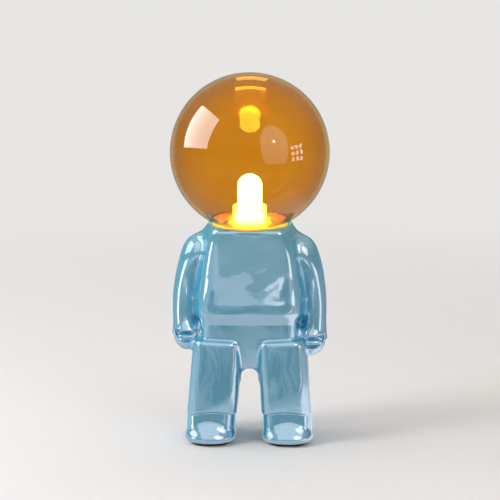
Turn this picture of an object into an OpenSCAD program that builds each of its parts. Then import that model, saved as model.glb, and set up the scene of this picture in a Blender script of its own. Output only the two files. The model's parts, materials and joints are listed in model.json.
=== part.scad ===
// Astronaut table lamp: a hollow glazed ceramic figure that carries a plug-in LED capsule
// under a blown glass globe, which screws onto the lamp holder's sleeve.
// Millimetres, +Z up, the figure faces -Y, origin on the floor under the globe's axis.

/* [Feet and legs] */
// Thickness of the foam pad under each foot
pad_t = 2.5; // [1.5:0.5:5]
// How far each pad stays inside the edge of its sole
pad_inset = 3; // [2:0.5:5]
// Height of a leg from the sole to its top edge
leg_h = 76.5; // [66:0.5:90]
// Width of a leg at its top
leg_top_w = 33; // [28:0.5:36]
// Width of a leg at the ankle
leg_ankle_w = 38; // [34:0.5:42]
// Depth of a leg, front to back
leg_d = 46; // [42:0.5:50]
// Gap between the legs at their top
leg_gap = 15; // [13:0.5:20]
// Extra gap between the legs at the ankles
leg_splay = 2.6; // [0:0.2:6]
// Edge radius of a leg
leg_edge_r = 7; // [6:0.5:9]
// Width of a boot
boot_w = 36.5; // [34:0.5:42]
// Gap between the boots
boot_gap = 22.5; // [18:0.5:28]
// Length of a boot, heel to toe
boot_l = 57; // [50:0.5:64]
// How far the toe stands in front of the leg
toe_reach = 7; // [5:0.5:12]
// Height of the toe cap above the sole
toe_h = 25.5; // [22:0.5:30]
// Height of the ankle crease above the sole
ankle_h = 24.5; // [20:0.5:28]
// Edge radius of the sole
sole_edge_r = 5.5; // [5:0.5:8]
// Top radius of the toe cap and heel
toe_r = 12; // [9:0.5:13]

/* [Hips and torso] */
// Height of the hips between leg tops and waist
hip_h = 14; // [11:0.5:20]
// Width of the hips
hip_w = 70; // [64:0.5:76]
// Depth of the hips
hip_d = 42; // [38:0.5:45]
// Edge radius of the hips
hip_edge_r = 6.5; // [5:0.5:9]
// Height of the arch between the legs above the sole
arch_h = 55.5; // [46:0.5:60]
// Radius of that arch
arch_r = 7.6; // [6:0.2:9]
// Height of the torso from the waist to its top
torso_h = 73; // [66:0.5:84]
// Width of the torso at the belly
torso_belly_w = 82.5; // [76:0.5:90]
// Width of the torso at the chest's top
torso_top_w = 66.5; // [62:0.5:74]
// Depth of the torso
torso_d = 57; // [53:0.5:62]
// How far the torso's sides bulge
torso_bulge = 2; // [0:0.5:4]
// Edge radius at the belly
belly_edge_r = 9.5; // [8:0.5:12]
// Edge radius at the chest's top
chest_edge_r = 6; // [5:0.5:9]

/* [Arms and hands] */
// Height of the shoulder's centre below the torso's top
shoulder_drop = 20.5; // [16:0.5:26]
// How far the shoulder's centre stands outside the chest
shoulder_out = 7.5; // [6:0.5:9]
// Radius of the shoulder
shoulder_r = 12; // [10:0.5:14]
// How far the elbow's centre stands outside the belly
elbow_out = 6; // [4.5:0.5:8]
// Radius of the upper arm
upper_arm_r = 9.2; // [8:0.2:11]
// Radius of the forearm
forearm_r = 8; // [7.2:0.2:10]
// Depth of an arm against its width
arm_depth_ratio = 1.4; // [1:0.05:1.6]
// How far the wrist's centre stands outside the belly
wrist_out = 9; // [7.5:0.5:11]
// Height of the wrist below the shoulder
wrist_drop = 51; // [44:0.5:60]
// Height of the hand's centre below the wrist
hand_drop = 13; // [11:0.5:15]
// How far the hand turns in under the wrist
hand_in = 3; // [1.5:0.5:4]
// Radius of the hand
hand_r = 10.8; // [9:0.2:13]
// How far the hand reaches forward of the arm
hand_reach = 8; // [4:0.5:12]
// Height of the grip slot above the hand's centre
grip_rise = 2.6; // [1:0.2:4]
// Height of the slot across the hand's front
grip_h = 3.8; // [2.5:0.1:5]
// Depth of that slot
grip_depth = 9; // [6:0.5:12]

/* [Ceramic] */
// Wall of the slip-cast ceramic
ceramic_wall = 4; // [3:0.25:4.5]
// Height of the neck rim above the torso's top
neck_h = 3; // [2:0.25:6]
// Radius at which the glass meets the neck rim
rim_r = 28.5; // [27:0.25:30]
// Width of the rim outside that line
rim_w = 2; // [1.5:0.25:3]
// Width of the ledge that carries the holder plate
ledge_w = 4; // [3:0.25:5]
// Thickness of the ceramic under the holder plate
ledge_t = 6.5; // [5:0.25:9]

/* [Globe] */
// Outside diameter of the glass globe
globe_d = 120; // [110:1:140]
// Wall of the glass
glass_t = 2.4; // [1.5:0.1:3.5]
// Diameter of the hole in the globe's bottom
globe_hole_d = 34; // [33:0.5:36]
// Thickness of the silicone cushion under the glass
cushion_t = 1.2; // [0.8:0.1:2]
// Width of that cushion
cushion_w = 4; // [2.5:0.25:4.5]
// Thickness of the seal between glass and collar
seal_t = 0.6; // [0.4:0.1:1]
// Length of the globe collar's thread
collar_l = 9; // [7:0.5:12]
// Width of the collar flange beyond the glass hole
collar_flange_w = 2; // [1.5:0.25:2.5]
// Thickness of the collar flange
collar_flange_t = 1.8; // [1.2:0.1:2.5]
// Thickness of the captive gasket under the collar
gasket_t = 1.6; // [1.2:0.1:2.5]

/* [Lamp holder] */
// Diameter of the neck plate
plate_d = 44; // [42:0.5:46]
// Thickness of the neck plate
plate_t = 1.5; // [1:0.25:2]
// Diameter of the holder sleeve
sleeve_d = 25.2; // [25:0.1:26]
// Wall of the holder sleeve
sleeve_t = 1.2; // [1:0.1:1.4]
// Height of the sleeve's top above the plate
sleeve_top = 20.5; // [19:0.5:24]
// Diameter of the holder cup's flange
cup_flange_d = 30; // [28.5:0.25:30.5]
// Thickness of that flange
cup_flange_t = 1.4; // [1:0.1:1.8]
// Wall of the holder cup
cup_t = 1.6; // [1.2:0.1:1.8]
// Height of the cup's rim above the plate
cup_rise = 7.6; // [6.5:0.1:9]
// Depth of the cup below the plate's top
cup_drop = 6.4; // [6:0.2:7.6]
// Thickness of the cup's floor
cup_floor_t = 3; // [2:0.25:3.5]
// Height of the ceramic core above the cup's rim
core_rise = 4.8; // [4:0.2:6]
// Depth of the core inside the cup
core_drop = 8; // [7:0.25:8.5]
// Distance between the two lamp pins
pin_pitch = 9; // [8.5:0.1:9.5]
// Length of a lamp pin
pin_l = 9; // [7:0.5:10]
// Diameter of the hollow threaded nipple
nipple_d = 10; // [8:0.5:10]
// Bore of the nipple
nipple_bore = 7; // [5.5:0.25:7.5]
// Length of the nipple below the ledge
nipple_tail = 11; // [10.5:0.5:15]
// Length of the clamp bar
bar_l = 48; // [42:1:52]
// Width of the clamp bar and the wiring strap
bar_w = 14; // [12.5:0.5:18]
// Thickness of the clamp bar
bar_t = 2; // [1.5:0.25:3]
// Thickness of the lock washer
washer_t = 1.2; // [0.8:0.1:1.6]
// Width of the lock nut and its washer beyond the nipple
nut_rim = 3.2; // [2.6:0.2:4]
// Thickness of the lock nut
nut_t = 5; // [4:0.25:5.5]

/* [LED capsule] */
// Diameter of the frosted envelope
bulb_d = 18.6; // [16:0.2:20]
// Height of the envelope above the capsule's base
bulb_h = 25; // [20:0.5:32]
// Wall of the envelope
bulb_t = 1; // [0.8:0.1:1.4]
// Height of the capsule's base
bulb_base_h = 7; // [6:0.25:9]
// Width of the board inside the envelope
led_board_w = 9; // [6:0.5:10]

/* [Wiring] */
// Length of the strap that carries the terminal block
strap_drop = 46; // [40:1:52]
// How far behind the axis the strap hangs
strap_back = 13; // [11:0.5:14.5]
// Thickness of the strap
strap_t = 1.5; // [1:0.25:2]
// Width of the terminal block
terminal_w = 20; // [18:0.5:24]
// Depth of the terminal block
terminal_d = 10; // [9:0.5:11]
// Height of the terminal block
terminal_h = 15; // [13:0.5:17]
// Distance between the two poles
pole_pitch = 10; // [9:0.5:11]
// Diameter of an insulated lead
lead_d = 2.2; // [1.6:0.1:2.4]
// Height of the cord bush above the waist
bush_rise = 17; // [15:0.5:22]
// Bore of the cord bush
bush_bore = 6.4; // [5:0.2:7]
// Diameter of the bush where it passes the wall
bush_d = 10; // [9:0.25:11]
// Diameter of the bush's flanges
bush_flange_d = 14; // [13:0.25:16]
// Thickness of the bush's outer flange
bush_flange_t = 2.2; // [1.5:0.1:3]

/* [Hidden] */
// Clearance of fixed fits, of turning fits and of faces that rest on each other
fit = 0.1;
running = 0.08;
rest_gap = 0.15;
seat_gap = 0.3;
// Room between pieces in the moulded ceramic and what drops into it
ceramic_gap = 0.4;
// How far one ceramic form sinks into the next
overlap = 4;
// Flare of the neck towards the shoulders
flare_r = 7.4;
flare_out = 5;
ball_fn = 24;
cavity_fn = 12;
ball_turn = 3.1;
round_fn = 72;
eps = 0.01;

// Heights of the figure
z_sole = pad_t;
z_ankle = z_sole + ankle_h;
z_leg_top = z_sole + leg_h;
z_waist = z_leg_top + hip_h;
z_torso_top = z_waist + torso_h;
z_rim = z_torso_top + neck_h;
z_shoulder = z_torso_top - shoulder_drop;
z_wrist = z_shoulder - wrist_drop;

// Globe and neck
globe_r = globe_d / 2;
globe_hole_r = globe_hole_d / 2;
z_globe = z_rim + sqrt(pow(globe_r, 2) - pow(rim_r, 2));
z_hole = z_globe - sqrt(pow(globe_r, 2) - pow(globe_hole_r, 2));
z_flange = z_hole - fit - collar_flange_t;
z_gasket = z_flange - fit - gasket_t;
z_plate = z_gasket - rest_gap;
z_ledge = z_plate - plate_t - rest_gap;
z_neck_under = z_ledge - ledge_t;
dish_r = globe_r + seat_gap + cushion_t + seat_gap;
recess_r = plate_d / 2 + ceramic_gap;
neck_bore_r = recess_r - ledge_w;

// Lamp holder
sleeve_r = sleeve_d / 2;
sleeve_bore_r = sleeve_r - sleeve_t;
cup_r = sleeve_bore_r - fit;
cup_bore_r = cup_r - cup_t;
core_r = cup_bore_r - fit;
z_cup = z_plate + fit;
z_cup_floor = z_cup - cup_drop;
z_chamber = z_cup_floor + cup_floor_t;
z_cup_rim = z_cup + cup_rise;
z_core_top = z_cup_rim + fit + core_rise;
z_core_bottom = z_cup_rim - core_drop;
z_sleeve = z_cup + cup_flange_t + fit;
z_sleeve_top = z_plate + sleeve_top;
slot_w = 3.6;
slot_l = 6.4;
z_slot = z_core_top - pin_l - 1.2;
contact_t = 0.5;
contact_gap = 1.8;
contact_w = 5;
tail_r = 0.7;
tail_l = 1.2;
screw_r = 1.15;
screw_head_r = 2.1;
screw_head_h = 1.5;
screw_pitch_r = (nipple_d / 2 + core_r) / 2;
boss_r = 2.2;
nipple_r = nipple_d / 2;
z_bar = z_neck_under - rest_gap - bar_t;
z_strap = z_bar - fit - strap_t;
z_washer = z_strap - fit - washer_t;
z_nut = z_washer - fit - nut_t;
z_nipple = z_neck_under - nipple_tail;

// LED capsule
bulb_r = bulb_d / 2;
z_bulb_base = z_core_top + rest_gap;
z_bulb = z_bulb_base + bulb_base_h;
z_bulb_top = z_bulb + bulb_h;
pin_t = 1;
pin_w = 4.2;
led_board_t = 1;
led_board_h = bulb_h - bulb_r;
led_size = 2.8;
led_t = 0.7;
led_rows = 4;

// Wiring
strap_y = strap_back;
z_terminal = z_strap - strap_drop + 5;
terminal_y = strap_y - fit - terminal_d;
pole_y = terminal_y + terminal_d / 2;
barrel_r = 2.4;
barrel_bore_r = lead_d / 2 + 0.3;
terminal_screw_r = 1.4;
strap_screw_r = 1.4;
z_strap_screw = z_terminal + terminal_h / 2;
z_bush = z_waist + bush_rise;
bush_y = torso_d / 2;
bush_hole_r = bush_d / 2 + ceramic_gap;

// Side to side places
leg_x_top = leg_gap / 2 + leg_top_w / 2;
leg_x_ankle = leg_gap / 2 + leg_splay / 2 + leg_ankle_w / 2;
boot_x = boot_gap / 2 + boot_w / 2;
boot_y = -leg_d / 2 - toe_reach + boot_l / 2;
shoulder_x = torso_top_w / 2 + shoulder_out;
elbow_x = torso_belly_w / 2 + elbow_out;
wrist_x = torso_belly_w / 2 + wrist_out;
hand_x = wrist_x - hand_in;
z_hand = z_wrist - hand_drop;
z_grip = z_hand + grip_rise;

// Balls at the four corners of a block: [x, y, z, radius]
function corners(w, d, z, r, x = 0, y = 0) =
    [for (sx = [-1, 1], sy = [-1, 1]) [x + sx * (w / 2 - r), y + sy * (d / 2 - r), z, r]];
function mix(a, b, t) = a + (b - a) * t;

// A pebble is the smooth skin over a set of balls, drawn in by inset for the cavity.
// A small turn keeps the facets of neighbouring forms from lining up.
module pebble(balls, inset = 0, depth_ratio = 1) {
    fn = inset > 0 ? cavity_fn : ball_fn;
    hull()
        for (b = balls)
            translate([b[0], b[1], b[2]])
                scale([1, depth_ratio, 1])
                    rotate([0, 0, ball_turn])
                        sphere(r = max(b[3] - inset, 0.5), $fn = fn);
}

module tube(r_out, r_in, h) {
    difference() {
        cylinder(r = r_out, h = h, $fn = round_fn);
        translate([0, 0, -eps])
            cylinder(r = r_in, h = h + 2 * eps, $fn = round_fn);
    }
}

// Torso rows follow the belly-to-chest taper with a little bulge between
torso_rows = 4;
torso_balls = [
    for (i = [0 : torso_rows])
        let (
            t = i / torso_rows,
            r = mix(belly_edge_r, chest_edge_r, t),
            w = mix(torso_belly_w, torso_top_w, t) + 4 * torso_bulge * 2 * t * (1 - t),
            z = mix(z_waist + belly_edge_r, z_torso_top - chest_edge_r, t)
        )
        each corners(w, torso_d, z, r)
];

hip_balls = concat(
    corners(hip_w, hip_d, z_waist + overlap - hip_edge_r, hip_edge_r),
    corners(hip_w, hip_d, z_leg_top - overlap, hip_edge_r)
);

function leg_balls(side) = concat(
    corners(leg_top_w, leg_d, z_leg_top - leg_edge_r, leg_edge_r, side * leg_x_top),
    corners(leg_ankle_w, leg_d, z_ankle, leg_edge_r, side * leg_x_ankle),
    corners(leg_ankle_w - overlap, leg_d - overlap, z_sole + leg_edge_r + 2, leg_edge_r, side * boot_x)
);

function boot_balls(side) = concat(
    corners(boot_w, boot_l, z_sole + sole_edge_r, sole_edge_r, side * boot_x, boot_y),
    corners(boot_w, boot_l - 1, z_sole + toe_h - toe_r, toe_r, side * boot_x, boot_y)
);

// Ball centres down an arm, from shoulder to wrist
function arm_balls(side) = [
    [side * (shoulder_x), 0, z_shoulder, shoulder_r],
    [side * mix(shoulder_x, elbow_x, 0.9), 0, mix(z_shoulder, z_wrist, 0.34), upper_arm_r],
    [side * wrist_x, 0, mix(z_shoulder, z_wrist, 0.7), forearm_r],
    [side * wrist_x, 0, z_wrist, forearm_r]
];

module arm(side, inset = 0) {
    balls = arm_balls(side);
    for (i = [0 : len(balls) - 2])
        pebble([balls[i], balls[i + 1]], inset, arm_depth_ratio);
}

// A mitten on the end of the arm, with a slot across its front
module hand(side) {
    pebble([
        [side * hand_x, -hand_reach, z_hand, hand_r],
        [side * hand_x, 0, z_hand, hand_r],
        [side * wrist_x, 0, z_wrist, forearm_r]
    ]);
}

// The casting has no gap between arm and body: a web closes it behind the crease
module arm_web(side) {
    web_r = 6.4;
    pebble([
        [side * hand_x, 2, z_hand, web_r],
        [side * wrist_x, 3.5, z_wrist, web_r],
        [side * (hip_w / 2 - web_r), 1, z_hand + 4, web_r],
        [side * (torso_belly_w / 2 - 2 * web_r), 0, z_shoulder - shoulder_r, web_r],
        [side * wrist_x, 2.5, mix(z_shoulder, z_wrist, 0.7), web_r]
    ]);
}

// It stops short of the hip, so that only the hand is cut
module grip_slot(side) {
    slot_back = -hand_reach - hand_r + grip_depth - grip_h / 2;
    slot_l = 4 * hand_r;
    hull()
        for (dy = [0, -grip_depth - hand_r])
            translate([side * (hand_x - hand_r + slot_l / 2), slot_back + dy, z_grip])
                rotate([0, 90, 0])
                    cylinder(d = grip_h, h = slot_l, center = true, $fn = cavity_fn);
}

// Slopes from the neck rim out to the shoulders
module yoke() {
    flare_x = rim_r + rim_w - flare_r + flare_out;
    hull() {
        translate([0, 0, z_rim - rim_w - 1])
            cylinder(r = rim_r + rim_w, h = 1, $fn = round_fn);
        for (side = [-1, 1])
            translate([side * flare_x, 0, z_torso_top - flare_r - 3])
                sphere(r = flare_r, $fn = ball_fn);
    }
    hull()
        for (side = [-1, 1]) {
            translate([side * flare_x, 0, z_torso_top - flare_r - 3])
                scale([1, 2, 1])
                    sphere(r = flare_r, $fn = ball_fn);
            translate([side * shoulder_x, 0, z_shoulder])
                scale([1, arm_depth_ratio, 1])
                    sphere(r = shoulder_r, $fn = ball_fn);
        }
}

// A turned ring on the torso's top, round at its lip
module neck_rim() {
    r = rim_r + rim_w;
    rotate_extrude($fn = round_fn)
        polygon([
            [0, z_torso_top - chest_edge_r - 1],
            [torso_d / 2 - 1.5, z_torso_top - chest_edge_r - 1],
            [r, z_torso_top - 1],
            [r, z_rim - rim_w / 2],
            [r - rim_w / 2, z_rim],
            [0, z_rim]
        ]);
}

// The block between the legs, with the arch under it
module crotch() {
    w = leg_gap + 2 * overlap;
    z_low = z_sole + arch_h - arch_r;
    difference() {
        translate([-w / 2, -hip_d / 2 + 2, z_low])
            cube([w, hip_d - 4, z_leg_top - z_low]);
        translate([0, 0, z_low])
            rotate([90, 0, 0])
                cylinder(r = arch_r, h = 2 * hip_d, center = true, $fn = round_fn);
    }
}

module figure_outside() {
    pebble(torso_balls);
    pebble(hip_balls);
    crotch();
    yoke();
    neck_rim();
    for (side = [-1, 1]) {
        pebble(leg_balls(side));
        pebble(boot_balls(side));
        arm(side);
        hand(side);
        arm_web(side);
    }
}

// The slip drains from boots and arms through these
module ankle_passage(side) {
    translate([side * (leg_x_ankle + boot_x) / 2, 0, z_ankle])
        cube([leg_ankle_w - 4 * ceramic_wall, leg_d - 4 * ceramic_wall, ankle_h], center = true);
}

module shoulder_passage(side) {
    ball = arm_balls(side)[0];
    pebble([ball, [0, 0, z_shoulder - shoulder_r / 2, shoulder_r - 2]], ceramic_wall);
}

module figure_cavity() {
    difference() {
        union() {
            pebble(torso_balls, ceramic_wall);
            pebble(hip_balls, ceramic_wall);
            translate([0, 0, z_waist])
                cube([hip_w - 4 * ceramic_wall, hip_d - 4 * ceramic_wall, 4 * ceramic_wall], center = true);
            for (side = [-1, 1]) {
                pebble(leg_balls(side), ceramic_wall);
                pebble(boot_balls(side), ceramic_wall);
                ankle_passage(side);
                arm(side, ceramic_wall);
                shoulder_passage(side);
            }
        }
        translate([0, 0, z_neck_under])
            cylinder(r = torso_d, h = z_rim - z_neck_under, $fn = round_fn);
    }
}

// One turned tool cuts the dish for the glass, the plate's recess and the bore
dish_steps = 5;
function dish_z(r) = z_globe - sqrt(pow(dish_r, 2) - pow(r, 2));
module neck_hole() {
    mouth_r = rim_r + 2 * rim_w;
    z_low = z_neck_under - 1;
    rotate_extrude($fn = round_fn)
        polygon(concat(
            [[0, z_low], [neck_bore_r, z_low], [neck_bore_r, z_ledge], [recess_r, z_ledge]],
            [for (i = [0 : dish_steps]) let (r = mix(recess_r, mouth_r, i / dish_steps)) [r, dish_z(r)]],
            [[mouth_r, z_globe], [0, z_globe]]
        ));
}

module bush_hole() {
    translate([0, bush_y - 3 * ceramic_wall, z_bush])
        rotate([-90, 0, 0])
            cylinder(r = bush_hole_r, h = 6 * ceramic_wall, $fn = round_fn);
}

module ceramic_body() {
    color("#7aa7c0")
        difference() {
            figure_outside();
            figure_cavity();
            neck_hole();
            bush_hole();
            for (side = [-1, 1])
                grip_slot(side);
            translate([-globe_d, -globe_d, z_sole - globe_d])
                cube([2 * globe_d, 2 * globe_d, globe_d]);
        }
}

// Foot pads follow the sole's outline
module foot_pad(side) {
    w = boot_w - 2 * pad_inset;
    l = boot_l - 2 * pad_inset;
    r = sole_edge_r + 2;
    color("#1c1c1e")
        translate([side * boot_x, boot_y, 0])
            linear_extrude(height = pad_t - fit) {
                square([w - 2 * r, l], center = true);
                square([w, l - 2 * r], center = true);
                for (sx = [-1, 1], sy = [-1, 1])
                    translate([sx * (w / 2 - r), sy * (l / 2 - r)])
                        circle(r = r, $fn = round_fn);
            }
}

module left_foot_pad() { foot_pad(1); }
module right_foot_pad() { foot_pad(-1); }

// A thin ring of the dish's own curve, which the glass rests on
module neck_cushion() {
    color("#e9dcc4")
        intersection() {
            translate([0, 0, z_globe])
                difference() {
                    sphere(r = globe_r + seat_gap + cushion_t, $fn = round_fn);
                    sphere(r = globe_r + seat_gap, $fn = round_fn);
                }
            translate([0, 0, z_ledge])
                tube(rim_r - 0.5, rim_r - 0.5 - cushion_w, z_rim - z_ledge + rim_r);
        }
}

module neck_plate() {
    color("#f2f0ea")
        translate([0, 0, z_plate - plate_t])
            tube(plate_d / 2, cup_r + seat_gap, plate_t);
}

module glass_globe() {
    color("#c47a1c", 0.6)
        translate([0, 0, z_globe])
            difference() {
                sphere(r = globe_r, $fn = 2 * round_fn);
                sphere(r = globe_r - glass_t, $fn = 2 * round_fn);
                translate([0, 0, -globe_r - 1])
                    cylinder(r = globe_hole_r, h = globe_r, $fn = round_fn);
            }
}

module collar_seal() {
    color("#d8d4cb")
        translate([0, 0, z_hole])
            tube(globe_hole_r - fit, globe_hole_r - seal_t, glass_t);
}

module globe_collar() {
    bore_r = sleeve_r + running;
    barrel_r = globe_hole_r - seal_t - fit;
    color("#efe8da") {
        translate([0, 0, z_flange])
            tube(globe_hole_r + collar_flange_w, bore_r, collar_flange_t);
        translate([0, 0, z_flange])
            tube(barrel_r, bore_r, collar_l);
    }
}

module collar_gasket() {
    color("#d9d6d0")
        translate([0, 0, z_gasket])
            tube(globe_hole_r + collar_flange_w - 0.4, cup_flange_d / 2 + seat_gap, gasket_t);
}

module holder_sleeve() {
    color("#f6efdc")
        translate([0, 0, z_sleeve])
            tube(sleeve_r, sleeve_bore_r, z_sleeve_top - z_sleeve);
}

module holder_cup() {
    color("#f4f2ec")
        difference() {
            union() {
                translate([0, 0, z_cup_floor])
                    cylinder(r = cup_r, h = z_cup_rim - z_cup_floor, $fn = round_fn);
                translate([0, 0, z_cup])
                    cylinder(d = cup_flange_d, h = cup_flange_t, $fn = round_fn);
            }
            difference() {
                translate([0, 0, z_chamber])
                    cylinder(r = cup_bore_r, h = z_cup_rim, $fn = round_fn);
                for (side = [-1, 1])
                    translate([0, side * screw_pitch_r, z_chamber - eps])
                        cylinder(r = boss_r, h = z_core_bottom - fit - z_chamber, $fn = round_fn);
            }
            translate([0, 0, z_cup_floor - 1])
                cylinder(r = nipple_r + fit, h = cup_floor_t + 2, $fn = round_fn);
            for (side = [-1, 1])
                translate([0, side * screw_pitch_r, z_cup_floor + 0.8])
                    cylinder(r = screw_r + fit, h = z_core_bottom, $fn = round_fn);
        }
}

module holder_core() {
    color("#fbfaf5")
        difference() {
            union() {
                translate([0, 0, z_core_bottom])
                    cylinder(r = core_r, h = z_core_top - z_core_bottom, $fn = round_fn);
                translate([0, 0, z_cup_rim + fit])
                    cylinder(r = cup_r, h = core_rise, $fn = round_fn);
            }
            for (side = [-1, 1]) {
                translate([side * pin_pitch / 2 - slot_w / 2, -slot_l / 2, z_slot])
                    cube([slot_w, slot_l, z_core_top]);
                translate([side * pin_pitch / 2, 0, z_core_bottom - 1])
                    cylinder(r = tail_r + fit, h = z_slot - z_core_bottom + 2, $fn = round_fn);
                translate([0, side * screw_pitch_r, z_core_bottom - 1])
                    cylinder(r = screw_r + fit, h = z_core_top, $fn = round_fn);
                translate([0, side * screw_pitch_r, z_core_top - screw_head_h - fit])
                    cylinder(r = screw_head_r + fit, h = z_core_top, $fn = round_fn);
            }
        }
}

// Two sprung clips, each with a tail that takes a lead
module holder_contacts() {
    leaf_h = pin_l - 1;
    color("#c9b37c")
        for (side = [-1, 1])
            translate([side * pin_pitch / 2, 0, 0]) {
                translate([-contact_gap / 2 - contact_t, -contact_w / 2, z_slot + fit])
                    cube([contact_gap + 2 * contact_t, contact_w, contact_t]);
                for (leaf = [-contact_gap / 2 - contact_t, contact_gap / 2])
                    translate([leaf, -contact_w / 2, z_slot + fit])
                        cube([contact_t, contact_w, leaf_h]);
                translate([0, 0, z_core_bottom - tail_l])
                    cylinder(r = tail_r, h = z_slot - z_core_bottom + tail_l + fit + eps, $fn = round_fn);
            }
}

module holder_screws() {
    z_tip = z_cup_floor + 1.2;
    shank_l = z_core_top - screw_head_h - z_tip;
    color("#b9bcc0")
        for (side = [-1, 1])
            translate([0, side * screw_pitch_r, 0])
                difference() {
                    union() {
                        translate([0, 0, z_core_top - screw_head_h])
                            cylinder(r = screw_head_r, h = screw_head_h, $fn = round_fn);
                        translate([0, 0, z_tip])
                            cylinder(r = screw_r, h = shank_l + eps, $fn = round_fn);
                    }
                    translate([-screw_head_r, -0.35, z_core_top - screw_head_h / 2])
                        cube([2 * screw_head_r, 0.7, screw_head_h]);
                }
}

module nipple() {
    color("#c3a55e")
        translate([0, 0, z_nipple])
            tube(nipple_r, nipple_bore / 2, z_chamber - z_nipple);
}

module clamp_bar() {
    color("#aeb2b6")
        difference() {
            translate([-bar_l / 2, -bar_w / 2, z_bar])
                cube([bar_l, bar_w, bar_t]);
            translate([0, 0, z_bar - 1])
                cylinder(r = nipple_r + fit, h = bar_t + 2, $fn = round_fn);
        }
}

// A bent strip clamped under the bar, with the terminal block on its upright
module wiring_strap() {
    color("#aeb2b6")
        difference() {
            union() {
                translate([-bar_w / 2, -bar_w / 2, z_strap])
                    cube([bar_w, bar_w / 2 + strap_y + strap_t, strap_t]);
                translate([-bar_w / 2, strap_y, z_strap - strap_drop])
                    cube([bar_w, strap_t, strap_drop + strap_t]);
            }
            translate([0, 0, z_strap - 1])
                cylinder(r = nipple_r + fit, h = strap_t + 2, $fn = round_fn);
            translate([0, strap_y - 1, z_strap_screw])
                rotate([-90, 0, 0])
                    cylinder(r = strap_screw_r + fit, h = strap_t + 2, $fn = round_fn);
        }
}

module lock_washer() {
    color("#c6c9cc")
        translate([0, 0, z_washer])
            tube(nipple_r + nut_rim, nipple_r + fit, washer_t);
}

module lock_nut() {
    color("#c3a55e")
        translate([0, 0, z_nut])
            difference() {
                cylinder(r = nipple_r + nut_rim, h = nut_t, $fn = 6);
                translate([0, 0, -1])
                    cylinder(r = nipple_r + fit, h = nut_t + 2, $fn = round_fn);
            }
}

// Profile of a capsule wall from its open foot to the crown
module dome(r, h) {
    cylinder(r = r, h = h - r, $fn = round_fn);
    translate([0, 0, h - r])
        sphere(r = r, $fn = round_fn);
}

module bulb_envelope() {
    color("#fffaf0", 0.9)
        translate([0, 0, z_bulb + fit])
            difference() {
                intersection() {
                    dome(bulb_r, bulb_h - fit);
                    cylinder(r = 2 * bulb_r, h = bulb_h, $fn = round_fn);
                }
                difference() {
                    dome(bulb_r - bulb_t, bulb_h - fit - bulb_t);
                    translate([0, 0, -bulb_r])
                        cylinder(r = 2 * bulb_r, h = bulb_r - eps, $fn = round_fn);
                }
            }
}

module bulb_base() {
    color("#f7f5ef")
        difference() {
            translate([0, 0, z_bulb_base])
                cylinder(r = bulb_r - 0.3, h = bulb_base_h, $fn = round_fn);
            for (side = [-1, 1])
                translate([side * pin_pitch / 2 - pin_t / 2 - fit, -pin_w / 2 - fit, z_bulb_base - 1])
                    cube([pin_t + 2 * fit, pin_w + 2 * fit, 4]);
            translate([-led_board_w / 2 - fit, -led_board_t / 2 - fit, z_bulb - 2])
                cube([led_board_w + 2 * fit, led_board_t + 2 * fit, 3]);
        }
}

// Two flattened wire loops
module bulb_pins() {
    leg = 1;
    color("#cfd2d4")
        for (side = [-1, 1])
            translate([side * pin_pitch / 2 - pin_t / 2, 0, z_bulb_base - pin_l + pin_w / 2])
                rotate([90, 0, 90])
                    linear_extrude(height = pin_t)
                        difference() {
                            union() {
                                circle(d = pin_w, $fn = round_fn);
                                translate([-pin_w / 2, 0])
                                    square([pin_w, pin_l - pin_w / 2 + 2.5]);
                            }
                            circle(d = pin_w - 2 * leg, $fn = round_fn);
                            translate([-pin_w / 2 + leg, 0])
                                square([pin_w - 2 * leg, pin_l - pin_w / 2 - 0.5]);
                        }
}

module led_board() {
    color("#f2f4ee")
        translate([-led_board_w / 2, -led_board_t / 2, z_bulb - 1.8])
            cube([led_board_w, led_board_t, led_board_h + 1.8]);
}

module led_chips() {
    step = (led_board_h - 3) / led_rows;
    out = led_board_t / 2 + fit + led_t / 2;
    color("#f3d56a")
        for (face = [-1, 1], row = [0 : led_rows - 1], col = [-1, 1])
            translate([col * led_board_w / 4, face * out, z_bulb + 2 + step * (row + 0.5)])
                cube([led_size, led_t, min(led_size, step - 0.4)], center = true);
}

module terminal_block() {
    color("#eceae4")
        difference() {
            translate([-terminal_w / 2, terminal_y, z_terminal])
                cube([terminal_w, terminal_d, terminal_h]);
            for (side = [-1, 1]) {
                translate([side * pole_pitch / 2, pole_y, z_terminal - 1])
                    cylinder(r = barrel_r + fit, h = terminal_h + 2, $fn = round_fn);
                for (z = [0.25, 0.75])
                    translate([side * pole_pitch / 2, terminal_y - 1, z_terminal + z * terminal_h])
                        rotate([-90, 0, 0])
                            cylinder(r = terminal_screw_r + 2 * fit, h = terminal_d / 2, $fn = round_fn);
            }
            translate([0, terminal_y - 1, z_strap_screw])
                rotate([-90, 0, 0])
                    cylinder(r = strap_screw_r + fit, h = terminal_d + 2, $fn = round_fn);
        }
}

module terminal_barrels() {
    color("#c9a94f")
        for (side = [-1, 1])
            translate([side * pole_pitch / 2, pole_y, z_terminal + 1])
                difference() {
                    cylinder(r = barrel_r, h = terminal_h - 2, $fn = round_fn);
                    translate([0, 0, -1])
                        cylinder(r = barrel_bore_r, h = terminal_h + 2, $fn = round_fn);
                    for (z = [0.25, 0.75])
                        translate([0, -barrel_r - 1, z * terminal_h - 1])
                            rotate([-90, 0, 0])
                                cylinder(r = terminal_screw_r + fit, h = barrel_r + 1, $fn = round_fn);
                }
}

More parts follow.
